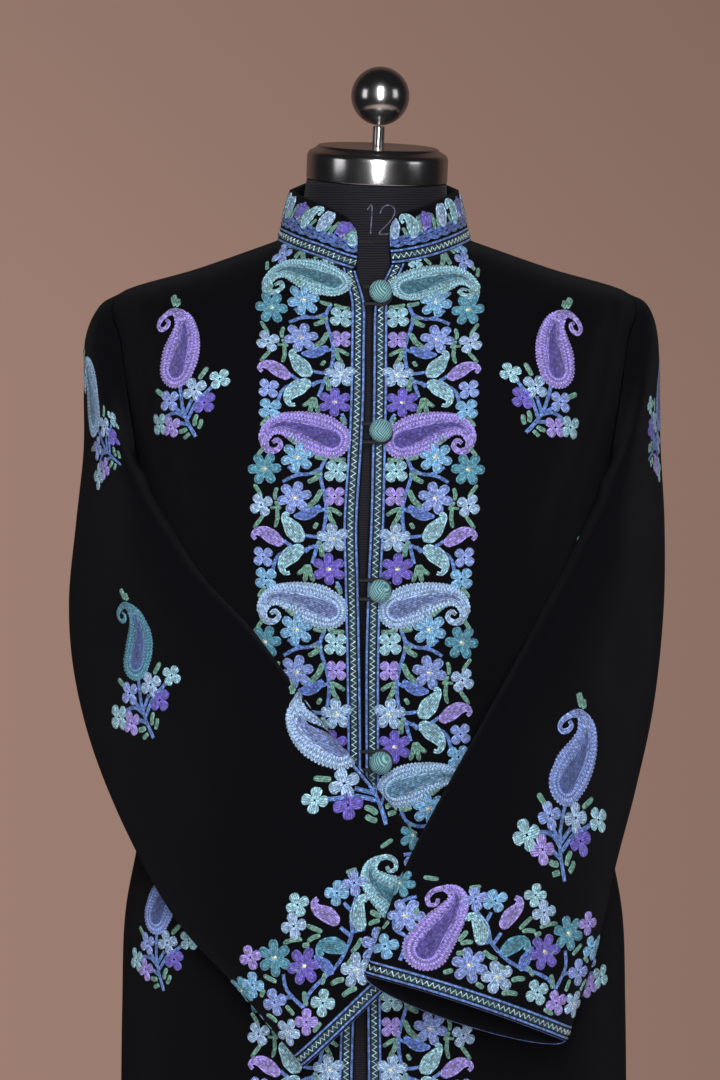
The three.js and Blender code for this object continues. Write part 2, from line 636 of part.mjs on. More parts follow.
// The tilted top of the neck.
function neckFrame() {
  const tilt = new THREE.Euler(radians(NECK.forward), radians(NECK.sideways), 0);
  return new THREE.Matrix4().makeRotationFromEuler(tilt).setPosition(NECK.x, NECK.y, NECK.height);
}

function neckFittings() {
  const top = new THREE.Group();
  top.applyMatrix4(neckFrame());
  const thread = [[0, STUD.foot]];
  for (let i = 0; i < STUD.turns; i++) {
    const height = STUD.foot + i * STUD.pitch;
    thread.push([STUD.radius, height + STUD.pitch * 0.25]);
    thread.push([STUD.radius - STUD.depth, height + STUD.pitch * 0.75]);
  }
  const studTop = STUD.foot + STUD.turns * STUD.pitch;
  thread.push([0, studTop]);
  const ball = named("finial_ball", new THREE.SphereGeometry(BALL_RADIUS, ...ROUND.ball), chrome);
  ball.position.z = studTop + SEAM_GAP + BALL_RADIUS;
  top.add(
    lathed("neck_cap", CAP_PROFILE, chrome, ROUND.cap),
    lathed("finial_stud", thread, chrome, ROUND.stud),
    ball,
  );
  return top;
}

function stand() {
  const poleTop = FORM[0].side - SEAM_GAP;
  const poleFoot = BASE.socketHeight + SEAM_GAP;
  const base = [
    [0, 0],
    [BASE.radius, 0],
    [BASE.radius, BASE.edge],
    [BASE.radius * 0.9, BASE.height * 0.75],
    [BASE.socket * 1.8, BASE.height],
    [BASE.socket, BASE.height * 1.6],
    [BASE.socket, BASE.socketHeight],
    [0, BASE.socketHeight],
  ];
  const pole = [
    [0, poleFoot],
    [POLE_RADIUS, poleFoot],
    [POLE_RADIUS, poleTop],
    [0, poleTop],
  ];
  return [lathed("stand_base", base, castIron, ROUND.base), lathed("stand_pole", pole, chrome, ROUND.pole)];
}

// ---- Assembly ---------------------------------------------------------------------------------------

const jacketOnForm = new THREE.Group();
jacketOnForm.add(...bodyPanels(), collar());
jacketOnForm.add(sleeve("sleeve_left", LEFT_SLEEVE, 1), sleeve("sleeve_right", RIGHT_SLEEVE, -1));
BUTTONS.forEach((button, i) => jacketOnForm.add(...buttonAndLoop(i + 1, button)));
jacketOnForm.add(torso(), neckFittings(), ...stand());

export default jacketOnForm;
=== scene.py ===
"""Finishes the embroidered jacket and the dress form that wears it.

The cloth shells, the needlework, the buttons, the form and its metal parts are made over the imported
solids. Lengths are in millimetres until a mesh is made, which is in metres like the frame.
"""

import functools
import math

import bmesh
import bpy
import numpy as np
from bpy.props import FloatProperty, FloatVectorProperty, IntProperty, PointerProperty
from mathutils import Euler, Matrix, Vector


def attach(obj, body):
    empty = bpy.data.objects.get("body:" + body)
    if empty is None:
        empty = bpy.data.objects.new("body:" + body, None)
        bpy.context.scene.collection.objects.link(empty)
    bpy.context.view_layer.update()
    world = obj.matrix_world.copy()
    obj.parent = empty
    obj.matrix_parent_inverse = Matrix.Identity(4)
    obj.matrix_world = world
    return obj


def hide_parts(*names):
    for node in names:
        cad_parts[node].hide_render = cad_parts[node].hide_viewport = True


bl_info = {
    "name": "Embroidered jacket on a dress form",
    "version": (1, 0, 0),
    "blender": (4, 5, 0),
    "location": "3D View > Sidebar > Jacket",
    "description": "Cloth, needlework, buttons, form and stage of an embroidered jacket",
    "category": "Object",
}

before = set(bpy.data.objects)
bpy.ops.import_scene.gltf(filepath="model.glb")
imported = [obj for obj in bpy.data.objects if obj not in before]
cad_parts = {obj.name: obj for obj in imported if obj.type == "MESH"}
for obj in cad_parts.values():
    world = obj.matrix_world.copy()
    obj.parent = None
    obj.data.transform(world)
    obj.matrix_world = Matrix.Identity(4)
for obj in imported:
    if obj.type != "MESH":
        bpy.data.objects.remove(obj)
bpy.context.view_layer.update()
MM = 0.001


def smooth(t):
    t = np.clip(t, 0.0, 1.0)
    return t * t * (3.0 - 2.0 * t)


def unit(vectors):
    return vectors / np.maximum(np.linalg.norm(vectors, axis=-1, keepdims=True), 1e-9)


def trough(off):
    """The share of a soft trough's depth at off, which is 0 in its middle and 1 at its edge."""
    return np.cos(np.minimum(np.abs(off), 1) * math.pi / 2) ** 2


def turned_from(around, degrees):
    return (degrees - around + 540) % 360 - 180


class Table:
    """Rows of numbers with named columns, read on a smooth curve along the first column."""

    def __init__(self, names, *rows):
        self.names = names.split()
        self.rows = np.array(rows, float)
        self.last = len(rows) - 1

    def at(self, name, where):
        keys = self.rows[:, 0]
        values = self.rows[:, self.names.index(name)]
        before = np.maximum(np.arange(len(keys)) - 1, 0)
        after = np.minimum(np.arange(len(keys)) + 1, len(keys) - 1)
        slopes = (values[after] - values[before]) / (keys[after] - keys[before])
        x = np.clip(where, keys[0], keys[-1])
        i = np.clip(np.searchsorted(keys, x, side="right") - 1, 0, len(keys) - 2)
        width = keys[i + 1] - keys[i]
        t = (x - keys[i]) / width
        t2 = t * t
        t3 = t2 * t
        start = (2 * t3 - 3 * t2 + 1) * values[i] + (t3 - 2 * t2 + t) * width * slopes[i]
        return start + (3 * t2 - 2 * t3) * values[i + 1] + (t3 - t2) * width * slopes[i + 1]


# ---- Sizes, as in the solids but for the armpits and the cuffs' mouths ------------------------------

BODY = Table(
    "side front back wide chest spine square",
    (520, 520, 520, 214, 137, 137, 2.1),
    (700, 700, 700, 208, 132, 131, 2.1),
    (840, 840, 840, 205, 129, 127, 2.15),
    (910, 910, 910, 202, 128, 122, 2.2),
    (970, 970, 970, 191, 128, 116, 2.2),
    (1030, 1030, 1030, 182, 130, 110, 2.25),
    (1100, 1100, 1100, 176, 134, 106, 2.3),
    (1180, 1180, 1180, 176, 138, 108, 2.3),
    (1240, 1239, 1240, 181, 138, 112, 2.3),
    (1290, 1284, 1290, 190, 133, 112, 2.3),
    (1335, 1321, 1337, 200, 122, 108, 2.3),
    (1375, 1350, 1376, 205, 112, 101, 2.25),
    (1411, 1376, 1408, 203, 100, 90, 2.15),
    (1431, 1405, 1440, 140, 85, 79, 2.05),
    (1453, 1435, 1470, 77, 71, 67, 2.0),
)
HEM, NECKLINE = 520.0, 1453.0
SKIRT_FOLDS = (  # around in degrees, reach in degrees, depth at the hem, top
    (48, 13, 7, 930),
    (78, 10, 5, 800),
    (118, 14, 8, 960),
    (152, 12, 6, 880),
    (201, 15, 8, 990),
    (240, 12, 6, 860),
    (287, 11, 6, 830),
    (314, 13, 7, 920),
)
FRONT_EDGES = Table(
    "height right left",
    (520, -17, -4),
    (800, -16, -6),
    (900, -13, -7),
    (1050, -9.4, -8),
    (1140, -10.2, -8),
    (1200, -11.4, -6.2),
    (1240, -12.2, -4.4),
    (1300, -8.6, -3),
    (1335, -7, -2.2),
    (1380, -6.4, -1.8),
    (1403, -6.2, -1),
    (1412, -7, 1.6),
    (1421, -9.4, 5.2),
    (1435, -14, 12.6),
)
NECK_SAG, NECK_SAG_REACH = 6.0, 50.0
ARMHOLE_PIT, ARMHOLE_TIP = 1290.0, 1411.0
ARMHOLE_FRONT, ARMHOLE_BACK, ARMHOLE_GAP = 14.0, 20.0, 0.5
LYING_GAP, PIT_GAP, PIT_REACH, SEAM_GAP = 3.5, -2.5, 50.0, 0.3
CUFF_SLANT, CUFF_LIFT = 18.0, 7.0  # how far the underside is longer and the top shorter at a cuff
CUFF_OPEN = {1: 1.0, -1: 0.25}  # how far the left and the right cuff lie open
COLLAR = {"rise": 40, "wide": 67, "front": 66, "back": 62, "front_rise": 38, "back_rise": 40}
COLLAR_CORNER, COLLAR_CROWDING = 15.0, 0.035
SLEEVE_COLUMNS = "station outer_x outer_z inner_x inner_z depth lean half seam"
LEFT_SLEEVE = Table(
    SLEEVE_COLUMNS,
    (0, 203, 1411, 190, 1290, 0, 0, 46, 1),
    (1, 218, 1402, 191, 1283, -3, 8, 50, 0.7),
    (2, 227, 1377, 186, 1274, -7, 22, 54, 0.3),
    (3, 230, 1335, 178, 1264, -13, 38, 56, 0),
    (4, 232, 1284, 173, 1250, -22, 48, 58, 0),
    (5, 235, 1224, 160, 1227, -34, 52, 60, 0),
    (6, 233, 1156, 140, 1190, -52, 50, 56, 0),
    (7, 223, 1085, 111, 1141, -84, 50, 46, 0),
    (8, 206, 1025, 80, 1090, -120, 46, 35, 0),
    (9, 188, 974, 53, 1046, -152, 38, 28, 0),
    (10, 170, 912, 22, 988, -176, 28, 24, 0),
    (11, 147, 846, -8, 909, -187, 22, 22, 0),
)
RIGHT_SLEEVE = Table(
    SLEEVE_COLUMNS,
    (0, -203, 1411, -190, 1290, 0, 0, 46, 1),
    (1, -219, 1401, -191, 1283, -3, 8, 50, 0.7),
    (2, -231, 1376, -186, 1275, -7, 22, 54, 0.3),
    (3, -234, 1334, -178, 1266, -13, 38, 56, 0),
    (4, -235, 1284, -172, 1254, -22, 50, 58, 0),
    (5, -241, 1226, -157, 1232, -34, 54, 58, 0),
    (6, -246, 1164, -131, 1196, -50, 54, 53, 0),
    (7, -240, 1108, -96, 1161, -76, 54, 42, 0),
    (8, -222, 1049, -68, 1128, -103, 50, 32, 0),
    (9, -190, 986, -40, 1092, -132, 38, 26, 0),
    (10, -152, 929, -10, 1056, -148, 22, 23, 0),
    (11, -104, 880, 30, 1006, -154, 8, 21, 0),
    (12, -55, 823, 70, 946, -153, -2, 20, 0),
)
SLEEVE_CREASES = (  # station, angle, half span in stations, half reach in degrees, depth
    (5.2, 120, 0.8, 34, 4),
    (6.6, 70, 0.7, 30, 5),
    (7.6, 105, 0.6, 36, 4),
    (8.8, 60, 0.8, 26, 3),
    (4.2, 300, 0.9, 30, 4),
    (1.2, 192, 1.6, 75, -6),
)
FORM = Table(
    "side front back wide chest spine square",
    (700, 700, 700, 152, 100, 100, 2.1),
    (760, 760, 760, 170, 110, 110, 2.1),
    (860, 860, 860, 176, 112, 112, 2.1),
    (950, 950, 950, 162, 106, 102, 2.1),
    (1050, 1050, 1050, 130, 92, 82, 2.1),
    (1120, 1120, 1120, 134, 98, 84, 2.15),
    (1200, 1200, 1200, 156, 120, 94, 2.2),
    (1250, 1248, 1250, 166, 128, 100, 2.2),
    (1300, 1290, 1300, 172, 121, 100, 2.2),
    (1350, 1330, 1352, 182, 107, 94, 2.2),
    (1398, 1366, 1396, 190, 90, 80, 2.1),
    (1421, 1394, 1430, 138, 76, 67, 2.0),
    (1444, 1425, 1460, 70, 62, 54, 2.0),
    (1470, 1458, 1478, 59, 57, 53, 2.0),
)
NECK_TILT = Euler((math.radians(5), math.radians(2.4), 0)).to_matrix().to_4x4()
NECK_TOP = Matrix.Translation((2, -4, 1500)) @ NECK_TILT
NECK_RADIUS = 55.5
FORM_FOOT, FORM_NECK = 700, 1470
BUTTON_RADIUS, BUTTONS = 8.8, ((4.6, 1411), (4.6, 1308), (3.6, 1190), (4.6, 1057))
LOOP_CORD, LOOP_RADIUS, LOOP_WRAP = 1.5, 8.0, 115.0


def ring_points(table, angle, height):
    angle, height = np.broadcast_arrays(np.asarray(angle, float), np.asarray(height, float))
    s, c = np.sin(angle), np.cos(angle)
    square = table.at("square", height)
    reach = np.maximum(1 - np.abs(s) ** square, 0) ** (1 / square)
    y = np.where(c > 0, -table.at("chest", height), table.at("spine", height)) * reach
    centre = np.where(c > 0, table.at("front", height), table.at("back", height))
    return np.stack([table.at("wide", height) * s, y, height + (centre - height) * c * c], -1)


def body_points(angle, height):
    p = ring_points(BODY, angle, height)
    angle, height = np.broadcast_arrays(np.asarray(angle, float), np.asarray(height, float))
    degrees = np.degrees(angle) % 360
    deep = np.zeros_like(degrees)
    for around, reach, depth, top in SKIRT_FOLDS:
        fade = np.clip((top - height) / (top - HEM), 0, None)
        deep += depth * fade * trough(turned_from(around, degrees) / reach)
    inwards = deep / np.maximum(np.hypot(p[..., 0], p[..., 1]), 1)
    p[..., 0] *= 1 - inwards
    p[..., 1] *= 1 - inwards
    above = smooth((height - ARMHOLE_TIP) / (NECKLINE - ARMHOLE_TIP))
    near = smooth(1 - np.abs(p[..., 0]) / NECK_SAG_REACH)
    p[..., 2] -= np.where((p[..., 0] < 0) & (p[..., 1] < 0), NECK_SAG * above * near, 0)
    return p


def body_normals(angle, height):
    inside = np.clip(height, HEM + 0.5, NECKLINE - 0.5)
    right = body_points(angle + 1e-3, inside) - body_points(angle - 1e-3, inside)
    up = body_points(angle, inside + 0.5) - body_points(angle, inside - 0.5)
    return unit(np.cross(right, up))


def edge_angle(side, height):
    return np.arcsin(FRONT_EDGES.at(side, BODY.at("front", height)) / BODY.at("wide", height))


def armhole_height(turn):
    return (ARMHOLE_PIT + ARMHOLE_TIP) / 2 + (ARMHOLE_TIP - ARMHOLE_PIT) / 2 * np.cos(turn)


def armhole_angle(turn):
    return np.radians(np.where(np.sin(turn) > 0, ARMHOLE_FRONT, ARMHOLE_BACK)) * np.sin(turn)


def section_points(table, along, turn):
    at = lambda name: table.at(name, along)
    c = np.cos(turn)
    return np.stack(
        [
            (at("outer_x") + at("inner_x")) / 2 + (at("outer_x") - at("inner_x")) / 2 * c,
            at("depth") + at("lean") * c - at("half") * np.sin(turn),
            (at("outer_z") + at("inner_z")) / 2 + (at("outer_z") - at("inner_z")) / 2 * c,
        ],
        -1,
    )


def armhole_points(sign, turn):
    height = armhole_height(turn)
    angle = sign * (math.pi / 2 - armhole_angle(turn))
    inwards = np.stack([np.zeros_like(turn), np.sin(turn), -np.cos(turn)], -1)
    return body_points(angle, height) + ARMHOLE_GAP * (inwards + body_normals(angle, height))


def sleeve_points(table, sign, along, turn):
    along, turn = np.broadcast_arrays(np.asarray(along, float), np.asarray(turn, float))
    p = section_points(table, along, turn)
    start = section_points(table, np.zeros_like(along), turn)
    p = p + table.at("seam", along)[..., None] * (armhole_points(sign, turn) - start)
    zero = np.zeros_like(turn)
    middle = (section_points(table, along, zero) + section_points(table, along, zero + math.pi)) / 2
    degrees = np.degrees(turn) % 360
    deep = np.zeros_like(turn)
    for station, around, span, reach, depth in SLEEVE_CREASES:
        deep += depth * trough(np.hypot((along - station) / span, turned_from(around, degrees) / reach))
    p = p + unit(middle - p) * deep[..., None]
    last = float(table.last)
    down = unit(section_points(table, last, 0.0) - section_points(table, last - 1, 0.0))
    low = np.sin(turn)
    slant = CUFF_SLANT * np.maximum(-low, 0) - CUFF_LIFT * np.maximum(low, 0) ** 1.5
    slant = slant * CUFF_OPEN[sign] * smooth(along - last + 1)
    p = p + down * slant[..., None]
    z = p[..., 2]
    gap = PIT_GAP + (LYING_GAP - PIT_GAP) * smooth((ARMHOLE_PIT - z) / PIT_REACH)
    wide = BODY.at("wide", z) + gap
    chest = np.where(p[..., 1] < 0, BODY.at("chest", z), BODY.at("spine", z)) + gap
    square = BODY.at("square", z)
    inside = np.abs(p[..., 0] / wide) ** square + np.abs(p[..., 1] / chest) ** square
    out = np.maximum(np.maximum(inside, 1e-6) ** (-1 / square), 1)
    out = np.where((z > ARMHOLE_PIT - 2) | (along <= 0.5), 1, out)
    return np.stack([p[..., 0] * out, p[..., 1] * out, z], -1)


def collar_points(angle, rise):
    foot = body_points(angle, np.full_like(angle, NECKLINE))
    foot[..., 2] += SEAM_GAP
    s, c = np.sin(angle), np.cos(angle)
    front = c > 0
    middle_rise = np.where(front, COLLAR["front_rise"], COLLAR["back_rise"])
    tall = COLLAR["rise"] + (middle_rise - COLLAR["rise"]) * c * c
    top_y = -np.where(front, COLLAR["front"], COLLAR["back"]) * c
    top = np.stack([COLLAR["wide"] * s, top_y, foot[..., 2] + tall], -1)
    return foot + (top - foot) * rise[..., None]


# ---- Cloth ------------------------------------------------------------------------------------------


def lengths_along(points, axis):
    steps = np.linalg.norm(np.diff(points, axis=axis), axis=-1)
    start = np.zeros_like(np.take(steps, [0], axis=axis))
    return np.concatenate([start, np.cumsum(steps, axis=axis)], axis=axis)


class Cloth:
    """A piece of cloth as a grid of points, with its distances across (a) and down (b) in millimetres.

    down is the distance of every grid point from the edge where b is 0. origin is the share of the
    columns where a is 0. creases are soft troughs from (a, b) to (a, b), with a half width and a depth.
    """

    STEP = 2.5

    def __init__(self, points, down=None, origin=0.0, centred=False, closed=False, creases=()):
        self.across = lengths_along(points, 1)
        zero = np.array([np.interp(origin * (row.size - 1), np.arange(row.size), row) for row in self.across])
        self.across = self.across - zero[:, None]
        if down is None:
            column = round(origin * (points.shape[1] - 1))
            down = np.repeat(lengths_along(points, 0)[:, column : column + 1], points.shape[1], axis=1)
        self.down = down
        middle = points.mean(axis=1, keepdims=True) if centred else points * (0, 0, 1)
        self.normals = self._normals(points, middle)
        self.points = points + self.normals * self._creases(creases, self.across, self.down)[..., None]
        self.normals = self._normals(self.points, middle)
        self.closed = closed
        self._lay_out()

    @staticmethod
    def _normals(points, middle):
        n = unit(np.cross(np.gradient(points, axis=1), np.gradient(points, axis=0)))
        outwards = np.sum(n * (points - middle))
        return n if outwards > 0 else -n

    @staticmethod
    def _creases(creases, a, b):
        total = np.zeros_like(a)
        for a0, b0, a1, b1, half, deep in creases:
            da, db = a1 - a0, b1 - b0
            t = np.clip(((a - a0) * da + (b - b0) * db) / (da * da + db * db), 0, 1)
            off = np.hypot(a - a0 - t * da, b - b0 - t * db) / half
            total -= deep * trough(off) * (0.25 + 0.75 * np.sin(t * math.pi))
        return total

    def _lay_out(self):
        """Samples the cloth again at even distances, so that a place on it is found at once."""
        data = np.concatenate([self.points, self.normals], -1)
        levels = np.arange(self.down.min(), self.down.max() + self.STEP, self.STEP)
        order = np.argsort(self.down[:, 0])
        columns = [
            [np.interp(levels, self.down[order, j], data[order, j, k]) for k in range(6)]
            for j in range(data.shape[1])
        ]
        rows = np.array(columns).transpose(2, 0, 1)
        shares = [np.interp(levels, self.down[order, j], self.across[order, j]) for j in range(data.shape[1])]
        across = np.array(shares).T
        self.low = (across.min(), levels[0])
        steps = np.arange(across.min(), across.max() + self.STEP, self.STEP)
        self.even = np.array(
            [[np.interp(steps, across[i], rows[i, :, k]) for k in range(6)] for i in range(len(levels))]
        ).transpose(0, 2, 1)
        self.levels, self.round = levels, across[:, -1] - across[:, 0]

    def read(self, a, b):
        rows, columns = self.even.shape[:2]
        if self.closed:
            a = np.mod(a, np.interp(b, self.levels, self.round))
        x = np.clip((np.asarray(a) - self.low[0]) / self.STEP, 0, columns - 1.001)
        y = np.clip((np.asarray(b) - self.low[1]) / self.STEP, 0, rows - 1.001)
        i, j = y.astype(int), x.astype(int)
        u, v = (x - j)[..., None], (y - i)[..., None]
        top = self.even[i, j] * (1 - u) + self.even[i, j + 1] * u
        return top * (1 - v) + (self.even[i + 1, j] * (1 - u) + self.even[i + 1, j + 1] * u) * v

    def place(self, a, b, lift=0.0):
        data = self.read(a, b)
        return data[..., :3] + unit(data[..., 3:]) * np.asarray(lift)[..., None]

    def upright(self, a, b, lean=0.0, mirrored=False):
        """The matrix from a motif's right and up, in mm as seen from outside, to a and b."""
        h = 4.0
        along_a = (self.place(a + h, b) - self.place(a - h, b)) / (2 * h)
        along_b = (self.place(a, b + h) - self.place(a, b - h)) / (2 * h)
        normal = unit(self.read(np.float64(a), np.float64(b))[3:])
        up = unit(np.array([0.0, 0.0, 1.0]) - normal * normal[2])
        right = np.cross(up, normal)
        c, s = math.cos(math.radians(lean)), math.sin(math.radians(lean))
        right, up = right * c - up * s, right * s + up * c
        if mirrored:
            right = -right
        tangent = np.array([[along_a @ right, along_b @ right], [along_a @ up, along_b @ up]])
        return np.linalg.inv(tangent)


def panel_rows():
    below = np.linspace(HEM, ARMHOLE_PIT, 131)[:-1]
    turns = np.linspace(math.pi, 0, 41)
    above = np.linspace(ARMHOLE_TIP, NECKLINE, 15)[1:]
    height = np.concatenate([below, armhole_height(turns), above])
    turn = np.concatenate([np.zeros_like(below), turns, np.zeros_like(above)])
    return height[::-1], turn[::-1]


FRONT_CREASES = (  # from across, down, to across, down, half width, depth
    (205, 60, 170, 190, 16, 2.2),
    (182, 130, 140, 240, 18, 1.6),
    (215, 250, 150, 290, 15, 2.0),
    (205, 320, 120, 345, 17, 1.8),
    (120, 420, 190, 470, 20, 1.6),
)
BACK_CREASES = (
    (-150, 120, -90, 230, 18, 2.4),
    (145, 110, 95, 210, 17, 2.2),
    (-120, 350, 40, 375, 18, 2.6),
    (130, 330, -20, 350, 16, 2.2),
    (-60, 395, 90, 410, 15, 1.8),
    (0, 40, 10, 150, 20, 1.4),
)


PANEL_COLUMNS, BACK_COLUMNS, SLEEVE_ROWS, SLEEVE_TURNS, COLLAR_COLUMNS, COLLAR_ROWS = 57, 91, 171, 97, 181, 19


def front_cloth(side):
    """A front, from its free edge to its side seam and round the armhole."""
    height, turn = (values[:, None] for values in panel_rows())
    t = np.linspace(0, 1, PANEL_COLUMNS)[None, :]
    way = 1 if side == "left" else -1
    angle = edge_angle(side, height) * (1 - t) + way * (math.pi / 2 * t - armhole_angle(turn) * t**3)
    points = body_points(angle, np.broadcast_to(height, angle.shape)) - (0, SEAM_GAP / 2, 0)
    return Cloth(points, creases=FRONT_CREASES)


def back_cloth():
    """The back, from the left side seam to the right one."""
    height, turn = (values[:, None] for values in panel_rows())
    t = np.linspace(0, 1, BACK_COLUMNS)[None, :]
    cut = -armhole_angle(2 * math.pi - turn)
    angle = math.pi / 2 + math.pi * t + cut * (1 - t) ** 3 - cut * t**3
    points = body_points(angle, np.broadcast_to(height, angle.shape)) + (0, SEAM_GAP / 2, 0)
    return Cloth(points, origin=0.5, creases=BACK_CREASES)


def sleeve_cloth(table, sign):
    """A sleeve, from its cuff up to the armhole and once round."""
    along = table.last - np.linspace(0, table.last, SLEEVE_ROWS)[:, None]
    turn = np.linspace(math.pi, -math.pi, SLEEVE_TURNS)[None, :]
    points = sleeve_points(table, sign, along, turn)
    down = lengths_along(points, 0)
    share = np.linspace(0, 1, SLEEVE_ROWS)[:, None]
    return Cloth(points, down * (down[-1].mean() / down[-1]) ** share, centred=True, closed=True)


def collar_cloth():
    """The collar, from its left end round the back to its right one, with its rounded corners."""
    start = float(edge_angle("left", NECKLINE))
    end = float(edge_angle("right", NECKLINE)) + 2 * math.pi
    spread = np.linspace(0, 1, COLLAR_COLUMNS)
    angle = start + (end - start) * (spread - np.sin(4 * math.pi * spread) * COLLAR_CROWDING)
    from_end = np.minimum(angle - start, end - angle) * COLLAR["wide"]
    short = np.maximum(COLLAR_CORNER - from_end, 0)
    drop = COLLAR_CORNER - np.sqrt(COLLAR_CORNER**2 - short**2)
    rise = np.linspace(0, 1, COLLAR_ROWS)[:, None] * (1 - drop / COLLAR["rise"])[None, :]
    points = collar_points(np.broadcast_to(angle, rise.shape).copy(), rise)
    return Cloth(points, lengths_along(points, 0), centred=True)


CLOTHS = {
    "front_left": functools.partial(front_cloth, "left"),
    "front_right": functools.partial(front_cloth, "right"),
    "back": back_cloth,
    "sleeve_left": functools.partial(sleeve_cloth, LEFT_SLEEVE, 1),
    "sleeve_right": functools.partial(sleeve_cloth, RIGHT_SLEEVE, -1),
    "collar": collar_cloth,
}


# ---- Meshes -----------------------------------------------------------------------------------------


def new_object(name, bm, material):
    mesh = bpy.data.meshes.new(name)
    bm.to_mesh(mesh)
    bm.free()
    mesh.polygons.foreach_set("use_smooth", [True] * len(mesh.polygons))
    mesh.materials.append(material)
    piece = bpy.data.objects.new(name, mesh)
    bpy.context.scene.collection.objects.link(piece)
    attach(piece, "root")
    return piece


def bent_grid(bm, points):
    """Adds a grid of faces and moves its vertices to the rows and columns of points, in metres."""
    rows, columns = points.shape[:2]
    made = bmesh.ops.create_grid(bm, x_segments=columns - 1, y_segments=rows - 1, size=1.0)
    for vertex, place in zip(made["verts"], points.reshape(-1, 3).tolist()):
        vertex.co = place
    return made["verts"]


def set_uv(mesh, name, per_vertex):
    layer = mesh.uv_layers.new(name=name)
    corners = np.zeros(len(mesh.loops), int)
    mesh.loops.foreach_get("vertex_index", corners)
    layer.data.foreach_set("uv", per_vertex[corners].astype(np.float32).ravel())


def cloth_shell(name, cloth, thickness, material, closed=False):
    """The cloth as a thin shell whose outer face is the grid, with a woven-direction UV map."""
    bm = bmesh.new()
    points = cloth.points * MM
    bent_grid(bm, points)
    bm.normal_update()
    facing = np.array([f.normal for f in bm.faces]).reshape(points.shape[0] - 1, points.shape[1] - 1, 3)
    if np.sum(facing * cloth.normals[:-1, :-1]) < 0:
        bmesh.ops.reverse_faces(bm, faces=bm.faces[:])
    shell = new_object(name, bm, material)
    set_uv(shell.data, "weave", np.stack([cloth.across, cloth.down], -1).reshape(-1, 2))
    if closed:
        bm = bmesh.new()
        bm.from_mesh(shell.data)
        ends = [v for v in bm.verts if v.is_boundary]
        bmesh.ops.remove_doubles(bm, verts=ends, dist=1e-6)
        bm.to_mesh(shell.data)
        bm.free()
        shell.data.polygons.foreach_set("use_smooth", [True] * len(shell.data.polygons))
    wall = shell.modifiers.new("wall", "SOLIDIFY")
    wall.thickness = thickness * MM
    wall.offset = -1
    return shell


def sideways(path):
    """The direction to the left at every stop of a flat path."""
    along = unit(np.gradient(path, axis=0))
    return np.stack([-along[:, 1], along[:, 0]], -1)


def tube_points(path, normals, radius, sides):
    """Rings of points round a path, one row for each of its stops."""
    around = np.linspace(0, 2 * math.pi, sides + 1)[None, :, None]
    across = unit(np.cross(unit(np.gradient(path, axis=0)), normals))
    outwards = np.broadcast_to(normals, path.shape)
    return path[:, None] + radius * (np.cos(around) * across[:, None] + np.sin(around) * outwards[:, None])


def curve_through(points, step=1.6):
    """A smooth line through points, which may carry a radius, with stops about step apart."""
    p = np.array(points, float)
    if len(p) == 2:
        count = max(int(np.hypot(*(p[1, :2] - p[0, :2])) / step) + 2, 3)
        return p[0] + (p[1] - p[0]) * np.linspace(0, 1, count)[:, None]
    ends = np.concatenate([[2 * p[0] - p[1]], p, [2 * p[-1] - p[-2]]])
    out = []
    for k in range(len(p) - 1):
        a, b, c, d = ends[k : k + 4]
        count = max(int(np.hypot(*(c[:2] - b[:2])) / step) + 1, 2)
        t = np.linspace(0, 1, count, endpoint=False)[:, None]
        bend, twist = 2 * a - 5 * b + 4 * c - d, 3 * b - a - 3 * c + d
        out.append(0.5 * (2 * b + (c - a) * t + bend * t * t + twist * t**3))
    return np.concatenate(out + [p[-1:]])


